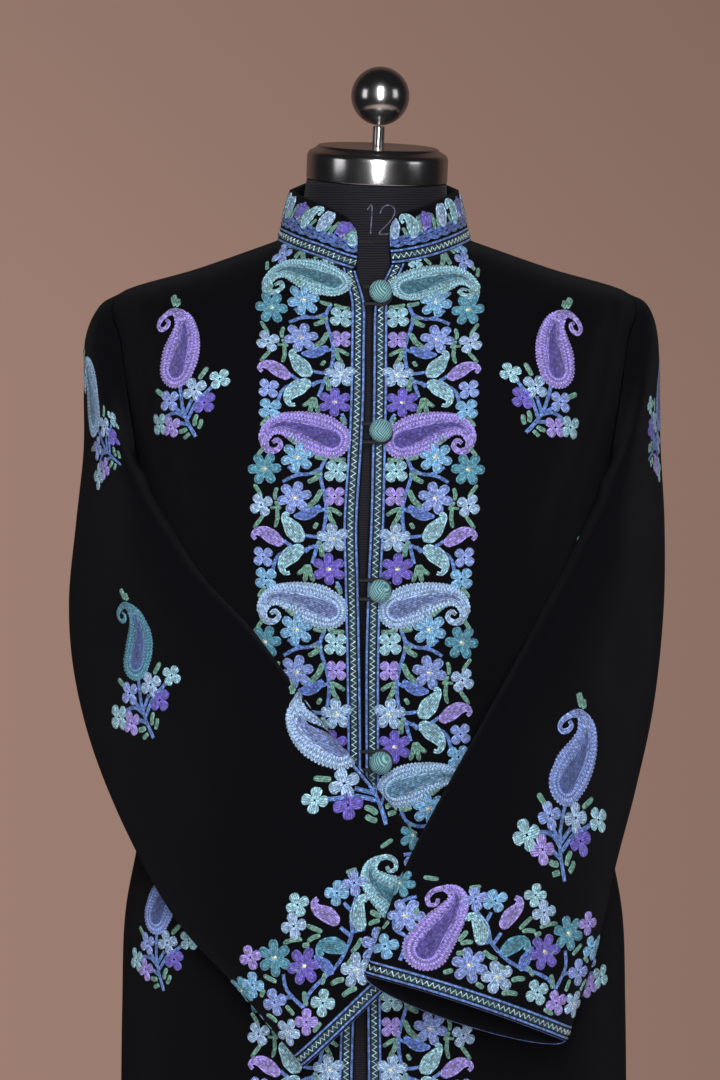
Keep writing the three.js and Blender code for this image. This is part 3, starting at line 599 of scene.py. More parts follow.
class Needlework:
    """Chain stitch worked on a cloth. Strokes are planned flat, then laid on the cloth as one mesh."""

    PROFILES = {3: (-0.12, 1.0, -0.12), 5: (-0.12, 0.72, 1.0, 0.72, -0.12)}
    SAUSAGE = np.array([0.42, 0.78, 1.0, 1.04, 1.0, 0.78, 0.42])
    PETAL_REACH = np.array([0.08, 0.24, 0.44, 0.64, 0.82, 0.94, 1.0])
    PETAL_HALF = np.array([0.34, 0.60, 0.86, 1.0, 0.92, 0.66, 0.34])
    PETAL_PLUMP = {4: 0.465, 5: 0.375, 6: 0.32}  # for flowers with 4, 5 and 6 petals
    FLOWER_SPREAD = 1.07
    RADIAL_HALF = np.array([0.75, 0.95, 1.06, 1.0, 0.55])
    RADIAL_PITCH = 2.75
    RADIAL_ROWS = ((0.70, 1.07, 1.0, 0.25), (0.48, 0.78, 0.85, 0.75))  # from, to, lift, first stitch

    def __init__(self, cloth, height=0.8):
        self.cloth = cloth
        self.height = height
        self.chance = np.random.default_rng(12)
        self.strokes = {3: [], 5: []}
        self.cords = []
        self.move(0, 0)

    def move(self, a, b, matrix=((1, 0), (0, 1))):
        self.origin = np.array([a, b], float)
        self.matrix = np.array(matrix, float)

    def stroke(self, path, half, thread, lift=1.0, across=5, ends=(0.35, 0.35)):
        path = np.asarray(path, float)
        half = np.broadcast_to(np.asarray(half, float), (len(path),))
        side = sideways(path)
        spread = np.linspace(-1, 1, across)
        plan = path[:, None] + side[:, None] * half[:, None, None] * spread[None, :, None]
        rise = np.ones(len(path))
        rise[0], rise[-1] = ends
        rise = rise[:, None] * np.array(self.PROFILES[across])[None] * lift * self.height
        run = lengths_along(path, 0)
        uv = np.stack(np.broadcast_arrays(half[:, None] * spread[None], run[:, None]), -1)
        colour = np.clip(np.array(thread) * (1 + 0.10 * (self.chance.random() - 0.5)), 0, 1)
        self.strokes[across].append((plan @ self.matrix.T + self.origin, rise, uv, colour))

    def cord(self, a, b, radius, thread, sink=0.0):
        """A round cord along places on the cloth, its middle sunk below the outer face."""
        sides = 6
        path = self.cloth.place(a, b, np.full_like(a, -sink))
        points = tube_points(path, unit(self.cloth.read(a, b)[..., 3:]), radius, sides)
        around = radius * np.linspace(0, 2 * math.pi, sides + 1)
        uv = np.stack(np.broadcast_arrays(around[None], lengths_along(path, 0)[:, None]), -1)
        self.cords.append((points, uv, np.array(thread)))

    def line(self, points, thread, half=1.0, lift=0.8, across=3, step=2.4):
        self.stroke(curve_through([p[:2] for p in points], step), half, thread, lift, across)

    def leaf(self, start, end, thread, half=1.7, bend=0.0):
        a, b = np.array(start, float), np.array(end, float)
        t = np.array([0, 0.05, 0.16, 0.5, 0.84, 0.95, 1])[:, None]
        side = np.array([-(b - a)[1], (b - a)[0]])
        path = a + (b - a) * t + side * bend * np.sin(t * math.pi)
        self.stroke(path, half * self.SAUSAGE, thread, 0.9)

    def flower(self, x, y, radius, petals, thread, heart, turn=90.0):
        radius = radius * self.FLOWER_SPREAD
        reach = self.PETAL_REACH * radius
        half = self.PETAL_HALF * radius * self.PETAL_PLUMP[petals]
        for k in range(petals):
            angle = math.radians(turn + 360 * k / petals)
            ray = np.array([math.cos(angle), math.sin(angle)])
            tone = thread * self.chance.uniform(0.9, 1.08)
            self.stroke(np.array([x, y]) + reach[:, None] * ray, half, tone)
        knot = np.array([[x - 0.14 * radius, y], [x, y], [x + 0.14 * radius, y]])
        if petals > 4:
            self.stroke(knot, 0.15 * radius, heart, 1.35, 3, (0.8, 0.8))

    def filled(self, circles, thread, lift=0.95, outline=None):
        """A solid shape along circles given as (x, y, radius)."""
        c = curve_through(circles, 1.8)
        path, half = c[:, :2], np.maximum(c[:, 2], 0.3)
        ahead = unit(path[1] - path[0])
        cap = np.array([-1.0, -0.8, -0.45])[:, None] * half[0] * ahead + path[0]
        cap_half = half[0] * np.array([0.25, 0.62, 0.9])
        path, half = np.concatenate([cap, path]), np.concatenate([cap_half, half])
        self.stroke(path, half, thread, lift)
        if outline is not None:
            side = sideways(path) * np.maximum(half - 0.7, 0.1)[:, None]
            edge = np.concatenate([(path - side)[::-1], (path + side)[1:]])
            self.stroke(edge, 0.8, outline, lift + 0.35, 3)

    def paisley(self, circles, body, rim, inner, core):
        """A paisley with two rows of radial stitches round a dark core. body counts its body circles."""
        trunk = curve_through(circles[:body], 1.2)
        self.filled(circles[:body], inner * 0.85, 0.4)
        self.filled(circles[body - 1 :], rim * 0.92, 0.9)
        path, half = trunk[:, :2], trunk[:, 2]
        side = sideways(path)
        ahead = np.array([side[0, 1], -side[0, 0]])
        turns = np.radians(np.linspace(90, 270, 25))[1:-1]
        cap_out = np.array([ahead * math.cos(t) + side[0] * math.sin(t) for t in turns])
        out = np.concatenate([side[::-1], cap_out, -side])
        foot = np.concatenate([path[::-1], np.repeat(path[:1], len(turns), 0), path])
        size = np.concatenate([half[::-1], np.full(len(turns), half[0]), half])
        run = lengths_along(foot + out * size[:, None], 0)
        width = self.RADIAL_PITCH * 0.57 * self.RADIAL_HALF
        for (start, end, lift, first), thread in zip(self.RADIAL_ROWS, (rim, inner)):
            for s in np.arange(self.RADIAL_PITCH * first, run[-1], self.RADIAL_PITCH):
                base = np.array([np.interp(s, run, foot[:, k]) for k in (0, 1)])
                ray = unit(np.array([np.interp(s, run, out[:, k]) for k in (0, 1)]))
                reach = np.linspace(start, end, 5) * float(np.interp(s, run, size))
                self.stroke(base + reach[:, None] * ray, width, thread, lift, 5, (0.5, 0.35))
        fade = 0.57 * np.linspace(1.0, 0.32, body - 1)
        self.filled([(x, y, max(r * f, 0.5)) for (x, y, r), f in zip(circles[: body - 1], fade)], core, 1.05)

    def laid(self, strokes, across):
        """The strokes' points and UVs on the cloth, turned so that every stroke faces outwards."""
        plan, rise, uv = (np.concatenate([s[k] for s in strokes]) for k in range(3))
        ends = np.cumsum([len(s[0]) for s in strokes])
        starts = np.concatenate([[0], ends[:-1]])
        data = self.cloth.read(plan[..., 0], plan[..., 1])
        normals = unit(data[..., 3:])
        points = data[..., :3] + normals * rise[..., None]
        middle, row = across // 2, starts + 1
        a = data[row, middle, :3] - data[row, 0, :3]
        b = data[row + 1, middle, :3] - data[row, middle, :3]
        inwards = np.sum(np.cross(a, b) * normals[row, middle], -1) < 0
        turned = np.repeat(inwards, ends - starts)
        points[turned] = points[turned, ::-1]
        uv[turned] = uv[turned, ::-1]
        return points, uv, ends

    def finish(self, name, material):
        """Makes one mesh of the strokes and cords, and cuts the strokes apart."""
        bm = bmesh.new()
        uvs, colours, joins = [], [], []
        for across, strokes in self.strokes.items():
            if not strokes:
                continue
            points, uv, ends = self.laid(strokes, across)
            first = len(bm.faces)
            bent_grid(bm, points * MM)
            joins += [first + (end - 1) * (across - 1) + k for end in ends[:-1] for k in range(across - 1)]
            uvs.append(uv.reshape(-1, 2))
            colours += [np.repeat(s[3][None], len(s[0]) * across, 0) for s in strokes]
        for points, uv, colour in self.cords:
            bent_grid(bm, points * MM)
            uvs.append(uv.reshape(-1, 2))
            colours.append(np.repeat(colour[None], points.shape[0] * points.shape[1], 0))
        bm.faces.ensure_lookup_table()
        bmesh.ops.delete(bm, geom=[bm.faces[i] for i in joins], context="FACES")
        piece = new_object(name, bm, material)
        set_uv(piece.data, "stitch", np.concatenate(uvs))
        rgb = np.concatenate(colours)
        rgba = np.concatenate([rgb, np.ones((len(rgb), 1))], 1)
        layer = piece.data.color_attributes.new("thread_colour", "FLOAT_COLOR", "POINT")
        layer.data.foreach_set("color", rgba.astype(np.float32).ravel())
        return piece


# ---- Settings ---------------------------------------------------------------------------------------


def linear(red, green, blue):
    def channel(value):
        v = value / 255
        return v / 12.92 if v <= 0.04045 else ((v + 0.055) / 1.055) ** 2.4

    return channel(red), channel(green), channel(blue)


def thread(name, description, red, green, blue):
    return FloatVectorProperty(
        name=name,
        description=description,
        subtype="COLOR",
        size=3,
        min=0,
        max=1,
        default=linear(red, green, blue),
    )


class JacketThreads(bpy.types.PropertyGroup):
    """Colours of the embroidery threads."""

    blue: thread("Blue", "Stems, drops and the lines along the borders", 104, 140, 214)
    deep_blue: thread("Deep blue", "Cores of the blue paisleys", 96, 124, 206)
    periwinkle: thread("Periwinkle", "Flowers and paisley rims", 144, 168, 236)
    sky: thread("Sky", "Flowers", 132, 188, 232)
    ice: thread("Ice", "The palest flowers and paisley rims", 166, 198, 236)
    aqua: thread("Aqua", "Small paisleys and flowers", 160, 208, 226)
    teal: thread("Teal", "Flowers and paisley cores", 92, 158, 184)
    lilac: thread("Lilac", "Flowers and paisley rims", 168, 152, 234)
    violet: thread("Violet", "Flowers and paisley cores", 114, 102, 206)
    green: thread("Green", "Leaves", 114, 164, 150)
    zigzag: thread("Zigzag", "The wave along the borders", 206, 234, 232)
    pine: thread("Pine", "The ground of the borders", 30, 66, 88)
    heart: thread("Heart", "Flower centres", 232, 232, 200)
    mark: thread("Mark", "The size number on the form's neck", 96, 98, 122)


class JacketSizes(bpy.types.PropertyGroup):
    """Sizes of the cloth and its needlework."""

    cloth: FloatProperty(
        name="Cloth", description="Thickness of the wool, in mm", default=2.0, min=0.5, max=4
    )
    collar_cloth: FloatProperty(
        name="Collar cloth", description="Thickness of the stiffened collar, in mm", default=2.6, min=1, max=5
    )
    stitch_height: FloatProperty(
        name="Stitch height", description="How far the chain stitch stands above the wool, in mm", default=0.8
    )
    repeat: FloatProperty(
        name="Repeat", description="Length of one repeat of the front bands, in mm", default=140.0, min=80
    )
    round_segments: IntProperty(
        name="Round segments", description="Segments of the turned metal parts", default=96, min=24, max=256
    )


class JacketStage(bpy.types.PropertyGroup):
    """Light and floor."""

    key: FloatProperty(name="Key light", description="Power of the key light", default=92.0, unit="POWER")
    fill: FloatProperty(name="Fill light", description="Power of the fill light", default=5.0, unit="POWER")
    floor: FloatVectorProperty(
        name="Floor", description="Colour of the floor", subtype="COLOR", default=linear(205, 186, 176)
    )
    backdrop: FloatVectorProperty(
        name="Backdrop",
        description="Colour behind the jacket",
        subtype="COLOR",
        default=linear(152, 122, 110),
    )


# ---- Materials --------------------------------------------------------------------------------------


class Nodes:
    """Short ways to add nodes to a tree."""

    def __init__(self, tree):
        self.tree = tree

    def add(self, kind, settings=None, **inputs):
        made = self.tree.nodes.new(kind)
        for key, value in (settings or {}).items():
            setattr(made, key, value)
        for key, value in inputs.items():
            self.feed(made, key.replace("_", " "), value)
        return made

    def feed(self, made, socket, value):
        target = made.inputs[socket] if isinstance(socket, (int, str)) else socket
        if isinstance(value, bpy.types.NodeSocket):
            self.tree.links.new(value, target)
        elif value is not None:
            target.default_value = value

    def math(self, operation, x, y=None, clamp=False):
        made = self.add("ShaderNodeMath", {"operation": operation, "use_clamp": clamp})
        self.feed(made, 0, x)
        self.feed(made, 1, y)
        return made.outputs[0]

    def times(self, x, y):
        return self.math("MULTIPLY", x, y)

    def plus(self, x, y):
        return self.math("ADD", x, y)

    def mix(self, share, a, b, blend="MIX"):
        made = self.add("ShaderNodeMix", {"data_type": "RGBA", "blend_type": blend})
        self.feed(made, 0, share)
        self.feed(made, 6, a)
        self.feed(made, 7, b)
        return made.outputs[2]

    def noise(self, vector, scale, detail=3.0, roughness=0.5):
        made = self.add("ShaderNodeTexNoise", Scale=scale, Detail=detail, Roughness=roughness)
        self.feed(made, "Vector", vector)
        return made.outputs["Fac"]

    def place(self):
        return self.add("ShaderNodeTexCoord").outputs["Object"]

    def place_on(self, uv_map):
        return self.add("ShaderNodeUVMap", {"uv_map": uv_map}).outputs[0]

    def grey(self, value):
        return self.add("ShaderNodeCombineColor", Red=value, Green=value, Blue=value).outputs[0]

    def relief(self, shader, height, strength, distance):
        bump = self.add("ShaderNodeBump", Strength=strength, Distance=distance, Height=height)
        self.feed(shader, "Normal", bump.outputs[0])


def group(name, inputs, outputs):
    tree = bpy.data.node_groups.new(name, "ShaderNodeTree")
    for label, kind in inputs:
        tree.interface.new_socket(label, in_out="INPUT", socket_type=kind)
    for label, kind in outputs:
        tree.interface.new_socket(label, in_out="OUTPUT", socket_type=kind)
    made = Nodes(tree)
    return made, made.add("NodeGroupInput"), made.add("NodeGroupOutput")


@functools.cache
def chain_stitch_group():
    """Rows of looped links. Position is across and along a stroke in mm."""
    n, start, end = group(
        "chain stitch",
        [("Position", "NodeSocketVector"), ("Row", "NodeSocketFloat"), ("Link", "NodeSocketFloat")],
        [("Height", "NodeSocketFloat"), ("Strand", "NodeSocketFloat"), ("Grain", "NodeSocketFloat")],
    )
    across, along = n.add("ShaderNodeSeparateXYZ", Vector=start.outputs["Position"]).outputs[:2]
    row = n.plus(n.math("DIVIDE", across, start.outputs["Row"]), 0.5)
    number = n.math("FLOOR", row)
    r = n.math("ABSOLUTE", n.math("SUBTRACT", n.math("SUBTRACT", row, number), 0.5))
    link = n.plus(n.math("DIVIDE", along, start.outputs["Link"]), n.times(number, 0.5))
    s = n.math("FRACT", link)
    loop = n.times(n.math("SINE", n.times(s, math.pi)), 0.27)
    off = n.math("DIVIDE", n.math("ABSOLUTE", n.math("SUBTRACT", r, loop)), 0.26)
    strand = n.math("SUBTRACT", 1.0, n.times(off, off), clamp=True)
    over = n.times(n.math("SUBTRACT", 1.0, s), 0.35)
    n.feed(end, "Height", n.plus(n.times(strand, 0.8), n.times(over, strand)))
    # Strand also masks the painted shade between strands in the thread material.
    n.feed(end, "Strand", strand)
    cell = n.add("ShaderNodeCombineXYZ", X=number, Y=n.math("FLOOR", link))
    grain = n.add("ShaderNodeTexWhiteNoise", {"noise_dimensions": "2D"}, Vector=cell.outputs[0])
    n.feed(end, "Grain", grain.outputs[0])
    return n.tree


@functools.cache
def twill_group():
    """Fine diagonal ribs with slubs. Position is across and down the cloth in mm."""
    n, start, end = group(
        "twill",
        [("Position", "NodeSocketVector"), ("Pitch", "NodeSocketFloat")],
        [("Height", "NodeSocketFloat"), ("Slub", "NodeSocketFloat")],
    )
    across, down = n.add("ShaderNodeSeparateXYZ", Vector=start.outputs["Position"]).outputs[:2]
    slub = n.noise(start.outputs["Position"], 0.9, 4.0)
    ribs = n.math("DIVIDE", n.plus(across, n.times(down, 0.8)), start.outputs["Pitch"])
    wave = n.math("SINE", n.times(n.plus(ribs, n.times(slub, 0.7)), 2 * math.pi))
    fine = n.noise(start.outputs["Position"], 3.2, 2.0)
    n.feed(end, "Height", n.plus(n.times(wave, 0.5), n.times(fine, 0.9)))
    n.feed(end, "Slub", slub)
    return n.tree


def new_material(name, **sockets):
    """A material, its nodes and its shader, whose own sockets are given with _ for a space."""
    made = bpy.data.materials.new(name)
    made.use_nodes = True
    shader = made.node_tree.nodes["Principled BSDF"]
    for label, value in sockets.items():
        shader.inputs[label.replace("_", " ")].default_value = value
    return made, Nodes(made.node_tree), shader


def use_group(n, tree, **inputs):
    return n.add("ShaderNodeGroup", {"node_tree": tree}, **inputs)


@functools.cache
def wool_material():
    made, n, shader = new_material(
        "black wool twill",
        Roughness=0.86,
        Specular_IOR_Level=0.055,
        Sheen_Weight=0.028,
        Sheen_Roughness=0.45,
        Sheen_Tint=(0.75, 0.75, 0.85, 1),
    )
    twill = use_group(n, twill_group(), Position=n.place_on("weave"), Pitch=1.15)
    cloudy = n.noise(n.place(), 16.0, 3.0)
    tone = n.mix(twill.outputs["Slub"], (0.0007, 0.0007, 0.0013, 1), (0.0046, 0.0044, 0.0066, 1))
    n.feed(shader, "Base Color", n.mix(n.times(cloudy, 0.6), tone, (0.0030, 0.0030, 0.0044, 1)))
    n.relief(shader, twill.outputs["Height"], 0.8, 0.00028)
    return made


@functools.cache
def thread_material():
    """Chain stitch in each stroke's own thread, with painted shade between its strands, painted sparkle on
    the threads, and a tone that differs from link to link.
    """
    made, n, shader = new_material(
        "chain-stitched thread",
        Roughness=0.55,
        Specular_IOR_Level=0.4,
        Sheen_Weight=0.18,
        Sheen_Roughness=0.4,
    )
    stitch = use_group(n, chain_stitch_group(), Position=n.place_on("stitch"), Row=1.45, Link=2.0)
    thread_tone = n.add("ShaderNodeAttribute", {"attribute_name": "thread_colour"}).outputs["Color"]
    # Painted sparkle: fine noise brightens and darkens the thread colour in specks, standing in for glints on
    # the fibres.
    painted_sparkle = n.noise(n.place(), 620.0, 3.0, 0.7)
    # Painted shade: the thread colour is darkened between the strands, where the grooves would fall in shade.
    depth = n.plus(0.27, n.times(stitch.outputs["Strand"], 0.96))
    depth = n.times(depth, n.plus(0.5, n.times(stitch.outputs["Grain"], 0.9)))
    depth = n.times(depth, n.math("SUBTRACT", n.times(painted_sparkle, 3.4), 0.62))
    n.feed(shader, "Base Color", n.mix(1.0, thread_tone, n.grey(depth), "MULTIPLY"))
    n.relief(shader, stitch.outputs["Height"], 0.9, 0.00045)
    return made


@functools.cache
def button_material():
    """Thread wound over a round core in crossing directions, with painted shade in the grooves between the
    threads and a painted highlight on their crests.
    """
    made, n, shader = new_material("wound button thread", Roughness=0.5, Sheen_Weight=0.1)
    place = n.place()
    bands = []
    for turn in ((0.3, 0.5, 0.9), (0.9, -0.4, -0.5)):
        turned_place = n.add("ShaderNodeMapping", Vector=place, Rotation=turn).outputs[0]
        wave = n.add("ShaderNodeTexWave", Vector=turned_place, Scale=190.0, Distortion=1.2, Detail=1.0)
        n.feed(wave, "Detail Scale", 0.6)
        bands.append(wave.outputs["Fac"])
    patch = n.add("ShaderNodeTexVoronoi", Vector=place, Scale=120.0)
    patch_red = n.add("ShaderNodeSeparateColor", Color=patch.outputs["Color"]).outputs[0]
    which = n.math("GREATER_THAN", patch_red, 0.5)
    other = n.math("SUBTRACT", 1.0, which)
    height = n.plus(n.times(bands[0], which), n.times(bands[1], other))
    # Painted shade: the thread colour follows the wound bands' height, dark teal in the grooves and pale on
    # the crests.
    tone = n.mix(n.math("POWER", height, 1.4), (*linear(30, 78, 88), 1), (*linear(160, 218, 222), 1))
    pale = n.times(n.noise(place, 420.0, 2.0), 0.5)
    n.feed(shader, "Base Color", n.mix(pale, tone, (*linear(104, 164, 172), 1)))
    n.relief(shader, height, 1.0, 0.0006)
    return made


@functools.cache
def cord_material():
    made, n, shader = new_material("black cord", Roughness=0.7)
    wave = n.add("ShaderNodeTexWave", Vector=n.place(), Scale=420.0, Distortion=2.0, Detail=1.0)
    wave.bands_direction = "DIAGONAL"
    # Painted shade: the cord is darker in the grooves of its twist and lighter on its ridges.
    tone = n.mix(wave.outputs["Fac"], (0.006, 0.006, 0.008, 1), (0.022, 0.022, 0.028, 1))
    n.feed(shader, "Base Color", tone)
    n.relief(shader, wave.outputs["Fac"], 0.7, 0.0003)
    return made


@functools.cache
def form_material():
    """Fine horizontal ribs, as on a form's jersey cover, with painted shade in the grooves between them and a
    painted highlight on their crests.
    """
    made, n, shader = new_material(
        "ribbed form cover", Roughness=0.8, Specular_IOR_Level=0.2, Sheen_Weight=0.05
    )
    rib_pitch = 0.0019
    place = n.place()
    height = n.add("ShaderNodeSeparateXYZ", Vector=place).outputs[2]
    level = n.plus(n.math("DIVIDE", height, rib_pitch), n.times(n.noise(place, 60.0, 2.0), 0.8))
    rib = n.math("ABSOLUTE", n.math("SINE", n.times(level, math.pi)))
    # Painted shade and highlight: the colour follows the ribs, darker in their grooves and lighter on their
    # crests.
    share = n.times(rib, n.plus(0.6, n.times(n.noise(place, 1400.0, 2.0), 0.7)))
    n.feed(shader, "Base Color", n.mix(share, (0.0012, 0.0012, 0.0025, 1), (0.015, 0.0145, 0.022, 1)))
    n.relief(shader, rib, 0.8, 0.0004)
    return made


@functools.cache
def chrome_material():
    made, n, shader = new_material("polished chrome", Metallic=1.0)
    place = n.place()
    smudge = n.noise(place, 55.0, 4.0)
    n.feed(shader, "Roughness", n.plus(0.13, n.times(smudge, 0.12)))
    n.feed(shader, "Base Color", n.mix(smudge, (0.50, 0.49, 0.50, 1), (0.66, 0.65, 0.66, 1)))
    n.relief(shader, n.noise(place, 900.0, 2.0), 0.08, 0.0002)
    return made


@functools.cache
def iron_material():
    """Powder coat with its orange-peel surface."""
    made, n, shader = new_material("black powder coat")
    place = n.place()
    worn = n.noise(place, 12.0, 5.0)
    n.feed(shader, "Base Color", n.mix(worn, (0.012, 0.012, 0.014, 1), (0.026, 0.026, 0.029, 1)))
    n.feed(shader, "Roughness", n.plus(0.36, n.times(worn, 0.18)))
    n.relief(shader, n.noise(place, 420.0, 3.0), 0.35, 0.0004)
    return made


# ---- Needlework motifs ------------------------------------------------------------------------------

# One repeat of a front band. Distances are from the free edge and down from the middle of the paisley.
BAND_PAISLEY = [
    (24.6, 4, 14.2), (31, 1.6, 15.6), (40, -1.6, 14.8), (52, -5.2, 11.6), (63.6, -6.6, 8.0),
    (72.6, -2.6, 5.8), (77, 5, 4.4), (74.4, 12.6, 3.2), (67.6, 14, 2.6), (63.2, 9.8, 2.2),
    (66, 5.6, 2.0), (69.8, 8, 1.6),
]
BAND_FLOWERS = [  # across, down, radius, petals, thread, turn
    (49.6, 19.4, 12.4, 6, "sky", 20), (75, 30, 12.4, 6, "teal", 5), (19.6, 30.4, 9.2, 4, "aqua", 40),
    (50.2, 52.6, 12.6, 6, "periwinkle", 15), (19.4, 51, 8.2, 4, "lilac", 45),
    (76, 59.4, 9.0, 4, "ice", 30), (19.6, 85, 11.6, 5, "ice", 60),
    (74.6, 101.6, 8.4, 4, "periwinkle", 40), (73, 119.4, 9.2, 4, "sky", 40),
    (23.4, 110.5, 12.2, 6, "violet", 30),
]
BAND_LEAVES = [  # from across, down, to across, down, half width, bend
    (73.4, -13, 79.8, -4.6, 1.7, 0), (75.6, 11.7, 82, 20.8, 1.7, 0), (49, 7.4, 56.4, 1.2, 2.0, 0.12),
    (52, 9, 58, 4, 1.7, -0.1), (26.6, 19.4, 36.6, 18.6, 1.8, 0.08),
    (25.2, 19.2, 12.6, 20.6, 1.8, -0.08), (30.4, 31.8, 40.8, 39.6, 2.1, 0.1),
    (31, 34, 38, 31.6, 1.6, 0), (30, 45.6, 40.4, 60.4, 2.5, 0.12), (82.6, 43, 76.4, 51, 1.7, 0),
    (64, 44.8, 64.8, 55, 1.7, -0.1), (65, 56, 60.6, 62.4, 1.6, 0), (74.2, 68, 81.6, 78.4, 1.7, 0),
    (63.6, 61.6, 64.6, 77.2, 1.7, 0.1), (24.4, 60.6, 13.2, 66.6, 1.8, 0.08),
    (23.4, 61.8, 17.8, 74.6, 1.9, -0.08), (31.6, 72.6, 34.2, 77.4, 1.7, 0),
    (31.4, 87.6, 28.6, 100.6, 2.2, 0.12), (40, 107, 48, 115, 1.9, 0.1),
    (39.6, 107, 42.4, 121.4, 2.0, 0), (38.6, 107, 35.2, 121, 1.9, -0.05), (74.6, 128, 82, 138, 1.7, 0),
    (18.4, 124, 14, 131, 1.6, 0),
]
BAND_STEMS = [
    [(28, 20), (31.4, 30), (30, 40), (27.2, 49), (25.2, 60), (25.6, 72), (28.2, 84), (31.8, 92), (36, 106)],
    [(31, 28), (38.6, 32.6), (47.4, 33), (56.6, 27.6)],
    [(44.4, 33.2), (52, 35.4), (60, 40)],
    [(27.6, 48), (24.6, 49.4)],
    [(26, 61), (31, 63.4)],
    [(30, 84), (36, 84), (41, 83)],
    [(32, 91), (44, 95), (55.6, 89.6), (57.6, 87)],
    [(50, 94.6), (62, 100), (66.6, 110), (66.4, 118)],
    [(37, 92), (41, 97)],
    [(17.8, 121), (14.4, 128)],
]
BAND_GREEN_STEMS = [
    [(76, 52), (79.8, 46)],
    [(63.4, 61), (68.4, 61.4)],
]
BAND_DROP = [(47, 67.4, 2.4), (41.6, 66.6, 4.4), (35, 63.6, 4.0), (30, 58.6, 1.4)]
BAND_SMALL_PAISLEYS = [
    ("aqua", [
        (47, 83, 6.2), (50, 78.8, 7.0), (54.2, 73, 4.8), (57.4, 68.6, 2.6), (56.2, 65.4, 1.7),
        (53.2, 66.4, 1.5),
    ]),
    ("lilac", [
        (62.6, 88, 4.8), (66.6, 85.2, 6.0), (73, 81.4, 5.2), (79.4, 81.2, 3.0), (82.4, 84.6, 1.9),
        (80, 87.4, 1.6),
    ]),
    ("aqua", [
        (47, 95.4, 5.2), (51.4, 98.6, 6.8), (57, 104, 5.6), (59.8, 110, 3.2), (57.4, 114.6, 1.9),
        (53.6, 114, 1.6),
    ]),
]
BAND_TOP_FLOWERS = [
    (73.5, -19, 8.2, 4, "periwinkle", 30), (76, -33.5, 8.2, 4, "sky", 50), (30, -21.5, 6.4, 4, "aqua", 45),
]
BAND_TOP_LEAVES = [
    (52, -17, 55, -27, 2.6, 0.1), (60.5, -17, 58.5, -28, 2.4, -0.1), (84.5, -12, 80.5, -5, 1.7, 0),
    (43, -17.6, 38, -25, 1.7, 0), (67, -26, 63.6, -36, 2.0, 0.1),
]

# A scattered sprig: right and up from the middle of its paisley.
SPRIG_PAISLEY = [
    (-2, 0, 14.6), (1.4, 8, 15.4), (5.4, 17, 14.0), (7.6, 26, 11.4), (7.4, 34.5, 8.4), (4.2, 41.4, 5.6),
    (-2, 45.2, 3.4), (-8, 43.5, 2.6), (-13.4, 39, 2.2), (-15.2, 34.4, 2.0), (-12.4, 31.6, 2.0),
    (-8, 33, 2.0), (-5.8, 36.8, 1.8), (-8.6, 39.2, 1.4),
]
SPRIG_FLOWERS = [
    (-10, -23.4, 8.2, 4, "periwinkle", 30), (11, -19, 8.8, 4, "ice", 20),
    (30, -14.6, 7.6, 4, "aqua", 50), (17.6, -31, 8.4, 4, "violet", 35),
    (-23.4, -39, 9.0, 4, "aqua", 35), (-11, -44, 8.4, 4, "lilac", 20),
]
SPRIG_LEAVES = [
    (-1, 48, -5.6, 56, 2.5, 0), (1.4, 47.4, -0.6, 53, 2.1, 0.1), (15, -11.6, 22, -3.4, 1.9, 0),
    (-14.6, -18, -21, -12.6, 2.0, 0), (9, -48, 11.6, -39, 1.9, 0.1),
    (11.4, -51, 14.2, -43.6, 1.8, -0.1), (2.6, -48.6, -4.6, -49.4, 2.0, 0.1),
    (4.4, -53, -1, -56, 1.8, 0),
]
SPRIG_STEMS = [
    [(0, -12), (0.2, -24), (1, -34), (4, -45), (9, -57)],
    [(2, -37), (6, -30), (8.6, -26)],
    [(4, -41), (11, -30), (19, -23.6), (24.6, -19)],
    [(1.4, -36), (-4, -31.6), (-7, -28)],
    [(2.4, -39), (-5, -34), (-12, -34), (-17, -36.4)],
    [(4.4, -45.6), (-3.4, -42.6), (-6.6, -42.6)],
]

# A cuff band: round from the inner fold and up from the edge.
CUFF_PAISLEY = [
    (37, 31, 16), (40.6, 45, 14.6), (45, 59, 11), (46, 70, 8), (41.4, 76.6, 5), (34, 77.6, 2.6),
    (27.6, 73.4, 2.1), (25.4, 67, 1.9), (28.6, 62.4, 1.8), (32.8, 64.6, 1.6), (32.4, 68.6, 1.4),
]
CUFF_FLOWERS = [
    (3.6, 72, 10.4, 6, "teal", 10), (15.6, 50, 12.4, 6, "periwinkle", 15),
    (57.4, 76, 8.8, 4, "periwinkle", 30), (71.6, 79, 8.6, 4, "sky", 45), (111, 82, 9.0, 4, "ice", 30),
    (137, 74, 12.4, 6, "teal", 5), (122.4, 55, 12.6, 6, "violet", 30),
    (70.4, 28, 12.6, 6, "periwinkle", 0), (93, 26, 11.6, 5, "ice", 50),
    (126.6, 25.4, 9.0, 4, "aqua", 45), (145, 23.4, 8.8, 4, "lilac", 40), (9.4, 24, 9.0, 4, "sky", 30),
    (157, 50, 9.2, 4, "periwinkle", 20), (152, 86, 8.4, 4, "lilac", 20), (164, 70, 9.0, 4, "sky", 40),
    (162, 27, 9.6, 5, "ice", 10), (99, 92, 8.4, 4, "aqua", 15),
]
